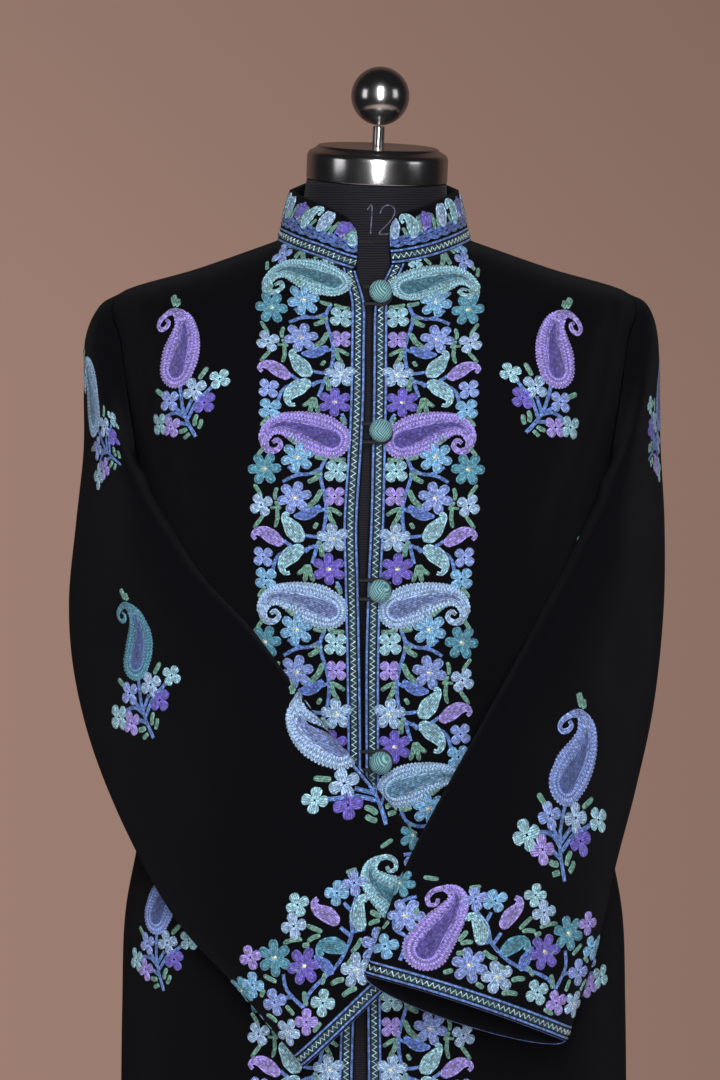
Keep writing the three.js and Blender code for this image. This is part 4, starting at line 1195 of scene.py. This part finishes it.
CUFF_LEAVES = [
    (24, 50, 21, 58, 1.9, 0.1), (17.4, 81, 27.6, 82.6, 1.8, 0), (50, 82.6, 57.4, 86, 1.7, 0),
    (56.6, 42.6, 60.4, 51.6, 2.0, 0), (59, 41, 67, 45, 1.8, 0.1), (97, 64.6, 103, 76, 1.8, 0),
    (99.6, 63.4, 110, 66.6, 1.8, 0.1), (112, 70.4, 125, 77.6, 1.8, 0.08),
    (76.6, 41.4, 88.6, 38.6, 1.9, -0.1), (104, 27, 114, 31.4, 2.0, 0.1),
    (112.6, 40.4, 119.6, 36, 1.9, 0), (133, 41, 137.6, 31.6, 2.0, 0.1), (146.6, 60, 152, 70, 1.8, 0),
    (150, 33.6, 151, 42.6, 1.8, 0), (100, 15.6, 112, 19, 2.0, 0.1), (54, 17, 60, 21, 1.9, 0),
    (79, 17, 85.6, 15.4, 1.9, 0), (110, 64, 114.6, 67, 1.9, 0), (131, 62, 128, 55, 1.8, 0),
    (165, 38, 169, 47, 1.9, 0.1), (65, 38, 58, 33.6, 1.9, 0.1), (3, 36, 5.6, 43, 1.8, 0),
    (136, 15.6, 145, 14.6, 1.8, 0), (99, 34, 91, 35, 1.8, 0.1), (158, 62, 164, 59.6, 1.8, 0),
]
CUFF_STEMS = [
    [(22.6, 17), (22, 34), (12.4, 38), (8.6, 48), (10.6, 60), (18, 66)],
    [(60.4, 68), (72.6, 60), (80, 49), (92, 42), (104, 38.6), (128, 38), (141, 33)],
    [(71, 60), (72, 70)],
    [(80.4, 50), (70.6, 44.6)],
    [(82, 48), (84.6, 58)],
    [(92, 42.4), (95, 46)],
    [(106, 38.6), (108.6, 42)],
    [(141, 33), (143.6, 50), (139, 61)],
    [(142.6, 44), (149.6, 48)],
]
CUFF_DROP = [(108.6, 40, 3.6), (109.4, 45, 4.4), (111, 52, 2.4), (111.4, 55.6, 1.0)]
CUFF_SMALL_PAISLEYS = [
    ("lilac", [(85, 66, 4.0), (86.6, 72, 4.8), (90, 79.6, 3.4), (88.6, 85, 2.1), (84.6, 85.6, 1.5)]),
    ("aqua", [(71.6, 50, 4.2), (69.4, 56, 5.0), (63.6, 62, 3.6), (58.4, 63, 2.2), (57.4, 59, 1.5)]),
    ("teal", [(93, 47, 4.0), (96.6, 52, 5.0), (103, 57, 3.6), (107.6, 55, 2.2), (106.6, 51, 1.5)]),
]

PAISLEY_THREADS = {  # rim, core
    "aqua": ("aqua", "teal"),
    "lilac": ("lilac", "violet"),
    "periwinkle": ("ice", "periwinkle"),
    "sky": ("ice", "sky"),
    "teal": ("teal", "deep_blue"),
    "blue": ("periwinkle", "deep_blue"),
}


def thread_colour(name):
    return np.array(getattr(bpy.context.scene.jacket_threads, name), float)


def work(needle, flowers, leaves, stems, green_stems=()):
    """Stitches the lists of one motif."""
    for path in stems:
        needle.line(path, thread_colour("blue"), 1.5)
    for path in green_stems:
        needle.line(path, thread_colour("green"), 1.3)
    for x0, y0, x1, y1, half, bend in leaves:
        needle.leaf((x0, y0), (x1, y1), thread_colour("green"), half * 0.98, bend)
    for x, y, radius, petals, colour, turn in flowers:
        needle.flower(x, y, radius, petals, thread_colour(colour), thread_colour("heart"), turn)


def work_paisley(needle, circles, body, colours):
    rim, core = (thread_colour(c) for c in PAISLEY_THREADS[colours])
    needle.paisley(circles, body, rim, rim * 0.72 + core * 0.28, core * 0.58)


def work_small(needle, circles, colour, fuller=1.0, fill=0.85):
    """A small paisley in one thread, with its outline a little paler."""
    tone = thread_colour(colour)
    needle.filled([(x, y, r * fuller) for x, y, r in circles], tone * fill, outline=tone)


def work_drop(needle, circles):
    needle.filled(circles, thread_colour("deep_blue"), outline=thread_colour("blue"))


BORDER_LINES, BORDER_MIDDLE = (2.0, 10.6), 6.3  # distances in from the edge
BORDER_LINE_HALF, BORDER_GROUND_HALF, BORDER_STEP = 1.05, 2.9, 3.0
WAVE_STEP, WAVE_REACH, WAVE_HALF = 2.3, 1.7, 0.85


def work_border(needle, length, inwards, start=0.0):
    """Two blue lines with a wave between them, along an edge. inwards turns (along, in) into (a, b)."""
    runs = np.arange(start, length, BORDER_STEP)
    level = lambda off: inwards(runs, np.full_like(runs, off))
    for off in BORDER_LINES:
        needle.stroke(level(off), BORDER_LINE_HALF, thread_colour("blue"), 0.9, 3)
    needle.stroke(level(BORDER_MIDDLE), BORDER_GROUND_HALF, thread_colour("pine"), 0.35, 3)
    teeth = np.arange(start + 1, length - 1, WAVE_STEP)
    sides = np.where(np.arange(len(teeth)) % 2, 1, -1)
    wave = inwards(teeth, BORDER_MIDDLE + WAVE_REACH * sides)
    needle.stroke(wave, WAVE_HALF, thread_colour("zigzag"), 1.0, 3)


SPRIG_SPREAD = ((1.12, 0), (0, 1.04))  # the flowers stand this much further apart than in their list


def sprig(needle, a, b, colours, lean=0.0, mirrored=False, size=1.0):
    axes = needle.cloth.upright(a, b, lean, mirrored) * size
    needle.move(a, b, axes @ SPRIG_SPREAD)
    work(needle, SPRIG_FLOWERS, SPRIG_LEAVES, SPRIG_STEMS)
    needle.move(a, b, axes)
    work_paisley(needle, SPRIG_PAISLEY, 6, colours)


# ---- Operators --------------------------------------------------------------------------------------


class PieceMaker:
    """What the operators that make pieces share."""

    bl_options = {"REGISTER"}

    @property
    def sizes(self):
        return bpy.context.scene.jacket_sizes


BAND_ORDER = (  # the height and colours of every paisley of a front band
    (1416, "aqua"),
    (1307, "lilac"),
    (1178, "periwinkle"),
    (1038, "sky"),
    (898, "lilac"),
    (758, "periwinkle"),
    (618, "aqua"),
)


class JACKET_OT_fronts(PieceMaker, bpy.types.Operator):
    """Makes the two fronts with their embroidered bands and scattered sprigs."""

    bl_idname = "jacket.fronts"
    bl_label = "Fronts"

    SPRIGS = {
        "front_left": (
            (145, 103, "lilac", 19),
            (167, 314, "aqua", 0),
            (176, 540, "blue", 0),
            (170, 770, "lilac", 0),
        ),
        "front_right": (
            (150, 99, "lilac", -11),
            (160, 306, "aqua", 0),
            (172, 524, "blue", 0),
            (166, 750, "lilac", 0),
        ),
    }
    TOP_MIDDLE = 48  # how far from the edge the topmost motifs have their middle
    LEAST_SQUEEZE = 0.84  # motifs aren't pressed together more than this
    LOWEST_REPEAT = 138  # with less cloth than this below its paisley, a repeat ends at the hem
    CLEAR = 6  # what is left free at the end of a repeat

    def execute(self, context):
        for name in ("front_left", "front_right"):
            cloth = CLOTHS[name]()
            shell = cloth_shell(f"{name}_cloth", cloth, self.sizes.cloth, wool_material())
            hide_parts(name)
            needle = Needlework(cloth, self.sizes.stitch_height)
            self.band(needle)
            for a, b, colours, lean in self.SPRIGS[name]:
                sprig(needle, a, b, colours, lean, mirrored=name == "front_left")
            needle.finish(f"{name}_needlework", thread_material())
        return {"FINISHED"}

    def band(self, needle):
        cloth = needle.cloth
        edge = cloth.points[:, 0]
        length = float(cloth.down[:, 0].max())
        down_at = lambda z: float(np.interp(-z, -edge[:, 2], cloth.down[:, 0]))
        needle.move(0, 0)
        work_border(needle, length - 1, lambda along, inn: np.stack([inn, along], -1), 1.0)
        stops = [down_at(z) for z, _ in BAND_ORDER]
        for k, (stop, (_, colours)) in enumerate(zip(stops, BAND_ORDER)):
            following = stops[k + 1] if k + 1 < len(stops) else stop + self.sizes.repeat
            squeeze = max((following - stop) / self.sizes.repeat, self.LEAST_SQUEEZE)
            needle.move(0, stop)
            if k == 0:
                outwards = 1 if edge[0, 0] > 0 else -1
                level = cloth.upright(self.TOP_MIDDLE, stop) @ ((outwards, 0), (0, -1))
                corner = np.array([self.TOP_MIDDLE, stop]) - level @ (self.TOP_MIDDLE, 0)
                needle.move(*corner, level)
                work(needle, BAND_TOP_FLOWERS, BAND_TOP_LEAVES, [])
            work_paisley(needle, BAND_PAISLEY, 7, colours)
            needle.move(0, stop, ((1, 0), (0, squeeze)))
            ends_at_hem = stop + self.LOWEST_REPEAT > length
            self.between(needle, length - stop - 4 if ends_at_hem else (following - stop) / squeeze)

    def between(self, needle, room):
        """The motifs below a paisley, as far as there is room for them."""
        fits = lambda y: y < room - self.CLEAR
        whole = room >= 130
        flowers = [f for f in BAND_FLOWERS if fits(f[1] + (0 if whole else f[2]) - self.CLEAR)]
        leaves = [f for f in BAND_LEAVES if fits(max(f[1], f[3]))]
        stems = [line for line in BAND_STEMS if fits(max(y for _, y in line) - self.CLEAR)]
        work(needle, flowers, leaves, stems, BAND_GREEN_STEMS)
        if fits(max(y for _, y, _ in BAND_DROP)):
            work_drop(needle, BAND_DROP)
        for colour, circles in BAND_SMALL_PAISLEYS:
            if fits(max(y for _, y, _ in circles)):
                work_small(needle, circles, colour)


class JACKET_OT_back(PieceMaker, bpy.types.Operator):
    """Makes the back with its scattered sprigs."""

    bl_idname = "jacket.back"
    bl_label = "Back"

    SPRIGS = [  # every other column starts half a row lower
        (x, b + lower, colours, x > 0)
        for x, lower in ((-150, 115), (-50, 0), (50, 115), (150, 0))
        for b, colours in ((110, "lilac"), (340, "periwinkle"), (570, "aqua"), (800, "lilac"))
        if b + lower < 880
    ]

    def execute(self, context):
        cloth = back_cloth()
        shell = cloth_shell("back_cloth", cloth, self.sizes.cloth, wool_material())
        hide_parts("back")
        needle = Needlework(cloth, self.sizes.stitch_height)
        for a, b, colours, mirrored in self.SPRIGS:
            sprig(needle, a, b, colours, 0, mirrored)
        needle.finish("back_needlework", thread_material())
        return {"FINISHED"}


class JACKET_OT_sleeves(PieceMaker, bpy.types.Operator):
    """Makes the two sleeves with their cuff bands and sprigs."""

    bl_idname = "jacket.sleeves"
    bl_label = "Sleeves"

    SPRIGS = {
        "sleeve_left": (
            (140, 488, "blue", 38, 1, True),
            (96, 188, "blue", 21, 1.2, False),
            (330, 350, "lilac", 0, 1, True),
            (300, 190, "aqua", 0, 1, True),
        ),
        "sleeve_right": (
            (104, 524, "sky", -42, 1.05, False),
            (112, 328, "teal", -9, 1, False),
            (5, 168, "periwinkle", -34, 1.12, True),
            (330, 420, "lilac", 0, 1, False),
            (290, 220, "aqua", 0, 1, False),
        ),
    }
    REPEAT, TALLER = 172, 1.03  # the length of the cuff's lists, and how much taller they are sewn
    PIPING_RADIUS = 0.75

    def execute(self, context):
        for name, colours in (("sleeve_left", "lilac"), ("sleeve_right", "aqua")):
            cloth = CLOTHS[name]()
            shell = cloth_shell(f"{name}_cloth", cloth, self.sizes.cloth, wool_material(), closed=True)
            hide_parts(name)
            needle = Needlework(cloth, self.sizes.stitch_height)
            self.cuff(needle, colours)
            for a, b, tone, lean, size, mirrored in self.SPRIGS[name]:
                sprig(needle, a, b, tone, lean, mirrored, size)
            needle.finish(f"{name}_needlework", thread_material())
        return {"FINISHED"}

    def cuff(self, needle, colours):
        round_edge = float(needle.cloth.across[0].max())
        needle.move(0, 0)
        work_border(needle, round_edge, lambda along, inn: np.stack([along, inn], -1), 0.0)
        along = np.linspace(0, round_edge, 181)
        piping = thread_colour("deep_blue") * 0.8
        needle.cord(along, np.full_like(along, 0.3), self.PIPING_RADIUS, piping, self.sizes.cloth / 2)
        for start in (0.0, round_edge / 2):
            needle.move(start, 0, ((round_edge / 2 / self.REPEAT, 0), (0, self.TALLER)))
            work(needle, CUFF_FLOWERS, CUFF_LEAVES, CUFF_STEMS)
            work_paisley(needle, CUFF_PAISLEY, 6, colours)
            work_drop(needle, CUFF_DROP)
            for colour, circles in CUFF_SMALL_PAISLEYS:
                work_small(needle, circles, colour, fuller=1.22)


class JACKET_OT_collar(PieceMaker, bpy.types.Operator):
    """Makes the stand collar with its close needlework."""

    bl_idname = "jacket.collar"
    bl_label = "Collar"

    REPEAT, ABOVE_BORDER, DRAWN_HEIGHT = 46, 12.4, 27
    LEAST_ROOM = 30  # what a repeat needs before the middle of the back
    OVAL = [(7.4, 11.4, 4.6), (8.2, 16, 6.0), (9.4, 21, 5.2), (10, 24.6, 3.0)]
    CURL = [
        (23.4, 9, 4.0), (24.6, 13, 5.4), (24.6, 18, 4.8), (22.4, 22.8, 3.2),
        (18.8, 24.2, 2.0), (16.8, 21.4, 1.6), (18, 18.6, 1.4),
    ]

    def execute(self, context):
        cloth = collar_cloth()
        shell = cloth_shell("collar_cloth", cloth, self.sizes.collar_cloth, wool_material())
        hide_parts("collar")
        needle = Needlework(cloth, self.sizes.stitch_height)
        length = float(cloth.across[0].max())
        needle.move(0, 0)
        work_border(needle, length - 1, lambda along, inn: np.stack([along, inn - 0.8], -1), 1.0)
        for start, way in ((0.0, 1), (length, -1)):
            for off in np.arange(0, length / 2 - self.LEAST_ROOM, self.REPEAT):
                self.repeat(needle, start + way * off, way)
        needle.finish("collar_needlework", thread_material())
        return {"FINISHED"}

    def repeat(self, needle, start, way):
        """Three wavy rows, an oval, a curled paisley and a tulip, between leaves."""
        middle = start + way * self.REPEAT / 2 + way
        tall = float(np.interp(middle, needle.cloth.across[0], needle.cloth.down[-1]))
        needle.move(start, self.ABOVE_BORDER, ((way, 0), (0, (tall - 13) / self.DRAWN_HEIGHT)))
        for row, tone in enumerate(("blue", "deep_blue", "blue")):
            x = np.arange(0.0, self.REPEAT + 1, 2.0)
            y = 1.8 + 2.9 * row + 0.7 * np.sin(0.55 * x + 2 * row)
            needle.stroke(np.stack([x, y], -1), 1.6, thread_colour(tone) * 0.85, 0.8, 3)
        work_small(needle, self.OVAL, "ice", fill=0.9)
        self.leaves(needle, (((2.4, 8), (2.2, 15), 1.7, 0),))
        work_small(needle, self.CURL, "aqua")
        self.leaves(needle, (((31, 8), (31.4, 22), 1.9, 0.06), ((17.4, 8.6), (16, 15), 1.6, -0.06)))
        for lean, top in ((-4.4, 22.6), (0, 24.6), (4.4, 22.6)):
            needle.leaf((37.4 + lean * 0.25, 10), (37.4 + lean, top), thread_colour("violet"), 2.6)
        needle.leaf((35, 9), (34, 13), thread_colour("lilac"), 1.8)
        self.leaves(needle, (((43.4, 7.6), (44, 21), 1.8, -0.06),))

    def leaves(self, needle, rows):
        for start, end, half, bend in rows:
            needle.leaf(start, end, thread_colour("green"), half, bend)


class JACKET_OT_buttons(PieceMaker, bpy.types.Operator):
    """Makes the thread-wound buttons and their cord loops."""

    bl_idname = "jacket.buttons"
    bl_label = "Buttons and loops"

    def execute(self, context):
        for number, (x, height) in enumerate(BUTTONS, 1):
            p, normal = self.front_surface(x, height)
            bm = bmesh.new()
            made = bmesh.ops.create_uvsphere(bm, u_segments=40, v_segments=24, radius=BUTTON_RADIUS * MM)
            centre = p + normal * (BUTTON_RADIUS + 2 * SEAM_GAP)
            bmesh.ops.translate(bm, verts=made["verts"], vec=Vector(centre) * MM)
            ball = new_object(f"button_ball_{number}", bm, button_material())
            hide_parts(f"button_{number}")
            loop = self.loop(f"button_cord_{number}", p, normal, x, height)
            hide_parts(f"button_loop_{number}")
        return {"FINISHED"}

    def front_surface(self, x, height):
        side = float(height)
        for _ in range(20):
            angle = np.arcsin(x / BODY.at("wide", side))
            side += height - body_points(angle, side)[2]
        angle = np.arcsin(x / BODY.at("wide", side))
        return body_points(angle, side), body_normals(angle, side)

    def loop(self, name, p, normal, x, height):
        right = unit(np.array([1.0, 0, 0]) - normal * normal[0])
        up = np.cross(normal, right)
        edge = float(FRONT_EDGES.at("right", height)) - x - LOOP_CORD
        apart = LOOP_RADIUS * math.sin(math.radians(LOOP_WRAP))
        turns = np.radians(np.linspace(LOOP_WRAP, -LOOP_WRAP, 25))
        round_foot = [(LOOP_RADIUS * math.cos(t), LOOP_RADIUS * math.sin(t)) for t in turns]
        plan = [(edge, apart), *round_foot, (edge, -apart)]
        lift = LOOP_CORD + 2 * SEAM_GAP
        path = np.array([p + normal * lift + right * a + up * b for a, b in plan])
        bm = bmesh.new()
        bent_grid(bm, tube_points(path, normal, LOOP_CORD, 10) * MM)
        bmesh.ops.remove_doubles(bm, verts=bm.verts[:], dist=1e-6)
        ends = [e for e in bm.edges if e.is_boundary]
        bmesh.ops.holes_fill(bm, edges=ends, sides=0)
        bmesh.ops.recalc_face_normals(bm, faces=bm.faces[:])
        return new_object(name, bm, cord_material())


def turned(name, profile, material, place, segments):
    """A lathed piece from (radius, height) stops, with its axis on the frame's own Z."""
    bm = bmesh.new()
    stops = [bm.verts.new((r * MM, 0, z * MM)) for r, z in profile]
    edges = [bm.edges.new(pair) for pair in zip(stops, stops[1:])]
    full = {"axis": (0, 0, 1), "cent": (0, 0, 0), "angle": 2 * math.pi, "use_merge": True}
    bmesh.ops.spin(bm, geom=stops + edges, steps=segments, **full)
    bmesh.ops.remove_doubles(bm, verts=bm.verts[:], dist=1e-7)
    bmesh.ops.recalc_face_normals(bm, faces=bm.faces[:])
    place = place.copy()
    place.translation *= MM
    bmesh.ops.transform(bm, matrix=place, verts=bm.verts[:])
    return new_object(name, bm, material)


def rounded(profile, radius=1.0, steps=4):
    """Rounds the inner corners of a profile."""
    out = [profile[0]]
    for before, corner, after in zip(profile, profile[1:], profile[2:]):
        a, b, c = (np.array(p, float) for p in (before, corner, after))
        reach = min(radius, np.linalg.norm(a - b) / 2.2, np.linalg.norm(c - b) / 2.2)
        start, end = b + unit(a - b) * reach, b + unit(c - b) * reach
        for t in np.linspace(0, 1, steps):
            out.append(tuple(start * (1 - t) ** 2 + 2 * b * t * (1 - t) + end * t * t))
    out.append(profile[-1])
    return out


NECK_SEAM, MARKS_FROM = 1452, 1410
SIZE_MARK = (  # the lines of the number on the neck, in x and z
    [(-6.4, 1477), (-3, 1480.6), (-3, 1458.6)],
    [
        (3.6, 1474.6), (5.6, 1479.4), (10, 1481), (14.4, 1478.6),
        (15, 1473.6), (11.4, 1467.6), (3.8, 1458.8), (16.6, 1458.8),
    ],
)


class JACKET_OT_form(PieceMaker, bpy.types.Operator):
    """Makes the dress form's covered torso with its neck seam and size mark."""

    bl_idname = "jacket.form"
    bl_label = "Dress form"

    def execute(self, context):
        height = np.linspace(FORM_FOOT, FORM_NECK, 155)
        angle = np.linspace(-math.pi, math.pi, 129)
        points = ring_points(FORM, angle[None, :], height[:, None])
        flat = np.stack([NECK_RADIUS * np.sin(angle), -NECK_RADIUS * np.cos(angle), np.zeros_like(angle)], -1)
        top = np.array([NECK_TOP @ Vector(p) for p in flat])
        neck = [points[-1] * (1 - t) + top * t for t in np.linspace(0, 1, 9)[1:]]
        points = np.concatenate([points, np.array(neck)])
        bm = bmesh.new()
        bent_grid(bm, points * MM)
        bmesh.ops.remove_doubles(bm, verts=bm.verts[:], dist=1e-6)
        bmesh.ops.holes_fill(bm, edges=[e for e in bm.edges if e.is_boundary], sides=0)
        bmesh.ops.recalc_face_normals(bm, faces=bm.faces[:])
        torso = new_object("form_cover", bm, form_material())
        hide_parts("form_torso")
        front = points[:, len(angle) // 2, 2]
        self.marks(Cloth(points[front > MARKS_FROM][::-1], origin=0.5))
        return {"FINISHED"}

    def marks(self, neck):
        """The neck seam, and the size number sewn in thin pale lines."""
        needle = Needlework(neck, 0.4)
        middle = neck.points.shape[1] // 2
        down_at = lambda z: float(np.interp(-z, -neck.points[:, middle, 2], neck.down[:, middle]))
        around = np.arange(-60, 61, 3.0)
        seam = np.stack([around, np.full_like(around, down_at(NECK_SEAM))], -1)
        needle.move(0, 0)
        needle.stroke(seam, 0.9, np.array((0.004, 0.004, 0.007)), 0.8, 3)
        for number in SIZE_MARK:
            needle.line([(x, down_at(z)) for x, z in number], thread_colour("mark"), 0.55)
        needle.finish("form_marks", thread_material())


class JACKET_OT_metal(PieceMaker, bpy.types.Operator):
    """Makes the chrome cap, stud and ball, and the pole with its base."""

    bl_idname = "jacket.metal"
    bl_label = "Metal parts"

    # Profiles of radius and height, the cap's from the top of the neck and the others' from the ground.
    CAP = [
        (0, 0.3), (55, 0.3), (56, 1.3), (56, 19), (54.8, 22), (52, 23.6), (48.6, 25.6),
        (47.4, 27.4), (0, 27.4),
    ]
    BASE = [(0, 0), (205, 0), (205, 6), (184.5, 12), (43.2, 16), (24, 25.6), (24, 60), (0, 60)]
    POLE = [(0, 60.3), (16, 60.3), (16, 699.7), (0, 699.7)]
    CAP_TOP, RINGS, RING_PITCH, BALL_RADIUS = 27.7, 8, 2.0, 23

    def execute(self, context):
        n = self.sizes.round_segments
        stud = [(0, self.CAP_TOP)]
        for i in range(self.RINGS):
            foot = self.CAP_TOP + self.RING_PITCH * i
            stud += [(5.2, foot + self.RING_PITCH / 4), (3.9, foot + self.RING_PITCH * 3 / 4)]
        top = self.CAP_TOP + self.RING_PITCH * self.RINGS
        stud.append((0, top))
        cap, base, pole = rounded(self.CAP, 1.2), rounded(self.BASE, 2.5), rounded(self.POLE, 0.8)
        ground = Matrix.Identity(4)
        chrome = chrome_material()
        self.fit(turned("chrome_cap", cap, chrome, NECK_TOP, n), "neck_cap", "chrome")
        self.fit(turned("threaded_stud", stud, chrome, NECK_TOP, 40), "finial_stud", "chrome")
        bm = bmesh.new()
        radius = self.BALL_RADIUS
        made = bmesh.ops.create_uvsphere(bm, u_segments=n, v_segments=48, radius=radius * MM)
        place = NECK_TOP @ Matrix.Translation((0, 0, top + SEAM_GAP + radius))
        place.translation *= MM
        bmesh.ops.transform(bm, matrix=place, verts=made["verts"])
        self.fit(new_object("chrome_ball", bm, chrome), "finial_ball", "chrome")
        self.fit(turned("iron_base", base, iron_material(), ground, n), "stand_base", "black_iron")
        self.fit(turned("chrome_pole", pole, chrome, ground, 64), "stand_pole", "chrome")
        return {"FINISHED"}

    def fit(self, piece, node, slot):
        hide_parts(node)


class JACKET_OT_stage(PieceMaker, bpy.types.Operator):
    """Sets the camera, the lights, the backdrop colour and the floor."""

    bl_idname = "jacket.stage"
    bl_label = "Stage"

    CAMERA_PLACE, CAMERA_TILT, CAMERA_LENS, CAMERA_SENSOR = (-0.0112, -2.5, 1.476), 84, 104.17, 36
    AIM = Vector((0, 0, 1.2))
    LIGHTS = (  # name, place, width and height, setting and its share, tint, mirrored in the metal
        ("key light", (0.06, -2.8, 2.0), (0.6, 2.3), "key", 1.0, (1.0, 1.0, 1.0), True),
        ("left light", (-2.5, -1.25, 1.9), (0.9, 1.3), "fill", 1.0, (0.98, 0.98, 1.0), True),
        ("right light", (2.5, -1.3, 1.9), (0.9, 1.3), "fill", 0.8, (0.98, 0.98, 1.0), True),
        ("back light", (0.4, 2.4, 2.4), (1.4, 1.4), "fill", 5.0, (1.0, 0.97, 0.94), False),
    )
    DARK_ROOM = (0.016, 0.015, 0.016, 1)

    def execute(self, context):
        scene = context.scene
        scene.view_settings.view_transform = "Standard"
        self.camera(scene)
        for row in self.LIGHTS:
            self.light(scene, *row)
        self.backdrop(scene)
        self.floor(scene)
        return {"FINISHED"}

    def camera(self, scene):
        camera = bpy.data.objects.new("camera", bpy.data.cameras.new("camera"))
        camera.location = self.CAMERA_PLACE
        camera.rotation_euler = (math.radians(self.CAMERA_TILT), 0, 0)
        camera.data.sensor_width = self.CAMERA_SENSOR
        camera.data.lens = self.CAMERA_LENS
        scene.collection.objects.link(camera)
        scene.camera = camera

    def light(self, scene, name, place, size, setting, share, tint, mirrored):
        light = bpy.data.objects.new(name, bpy.data.lights.new(name, "AREA"))
        light.data.energy = getattr(scene.jacket_stage, setting) * share
        light.data.shape = "RECTANGLE"
        light.data.size, light.data.size_y = size
        light.data.color = tint
        light.location = place
        light.rotation_euler = (self.AIM - Vector(place)).to_track_quat("-Z", "Y").to_euler()
        light.visible_glossy = mirrored
        scene.collection.objects.link(light)

    def backdrop(self, scene):
        """A wall that darkens to the right and upwards for the camera, in a dark room for reflections."""
        world = bpy.data.worlds.new("studio")
        world.use_nodes = True
        n = Nodes(world.node_tree)
        seen = n.add("ShaderNodeLightPath").outputs["Is Camera Ray"]
        way = n.add("ShaderNodeTexCoord").outputs["Generated"]
        x, y, z = n.add("ShaderNodeSeparateXYZ", Vector=way).outputs
        smooth_step = {"interpolation_type": "SMOOTHSTEP"}
        behind = n.add("ShaderNodeMapRange", smooth_step, Value=y, From_Min=0.35, From_Max=0.9)
        wall = np.array(scene.jacket_stage.backdrop)
        room = n.mix(behind.outputs[0], self.DARK_ROOM, (*(wall * 0.42), 1))
        side = n.add("ShaderNodeMapRange", Value=x, From_Min=-0.14, From_Max=0.14, To_Min=1.10, To_Max=0.80)
        high = n.add("ShaderNodeMapRange", Value=z, From_Min=-0.05, From_Max=0.10, To_Min=1.0, To_Max=0.84)
        shade = n.grey(n.times(side.outputs[0], high.outputs[0]))
        painted = n.mix(1.0, (*wall, 1), shade, "MULTIPLY")
        n.feed(world.node_tree.nodes["Background"], "Color", n.mix(seen, room, painted))
        scene.world = world

    def floor(self, scene):
        bm = bmesh.new()
        bmesh.ops.create_circle(bm, cap_ends=True, segments=96, radius=2.2)
        floor = bpy.data.objects.new("floor", bpy.data.meshes.new("floor"))
        bm.to_mesh(floor.data)
        bm.free()
        made, n, shader = new_material("pale floor", Roughness=0.75)
        tone = np.array(scene.jacket_stage.floor)
        speck = n.noise(n.place(), 40.0, 4.0)
        n.feed(shader, "Base Color", n.mix(speck, (*(tone * 0.96), 1), (*tone, 1)))
        floor.data.materials.append(made)
        scene.collection.objects.link(floor)


class JACKET_PT_pieces(bpy.types.Panel):
    """Lists the jacket's settings and pieces."""

    bl_idname = "JACKET_PT_pieces"
    bl_label = "Jacket"
    bl_space_type = "VIEW_3D"
    bl_region_type = "UI"
    bl_category = "Jacket"

    def draw(self, context):
        layout = self.layout
        for group_name in ("jacket_sizes", "jacket_threads", "jacket_stage"):
            box = layout.box()
            settings = getattr(context.scene, group_name)
            for key in settings.__annotations__:
                box.prop(settings, key)
        for operator in OPERATORS:
            layout.operator(operator.bl_idname)


OPERATORS = (
    JACKET_OT_stage,
    JACKET_OT_fronts,
    JACKET_OT_back,
    JACKET_OT_sleeves,
    JACKET_OT_collar,
    JACKET_OT_buttons,
    JACKET_OT_form,
    JACKET_OT_metal,
)
SETTINGS = {"jacket_threads": JacketThreads, "jacket_sizes": JacketSizes, "jacket_stage": JacketStage}


def register():
    for made in (*SETTINGS.values(), *OPERATORS, JACKET_PT_pieces):
        bpy.utils.register_class(made)
    for name, made in SETTINGS.items():
        setattr(bpy.types.Scene, name, PointerProperty(type=made))


def unregister():
    for name in SETTINGS:
        delattr(bpy.types.Scene, name)
    for made in (JACKET_PT_pieces, *reversed(OPERATORS), *reversed(SETTINGS.values())):
        bpy.utils.unregister_class(made)


def main():
    register()
    bpy.ops.jacket.stage()
    bpy.ops.jacket.fronts()
    bpy.ops.jacket.back()
    bpy.ops.jacket.sleeves()
    bpy.ops.jacket.collar()
    bpy.ops.jacket.buttons()
    bpy.ops.jacket.form()
    bpy.ops.jacket.metal()


if __name__ == "__main__":
    main()
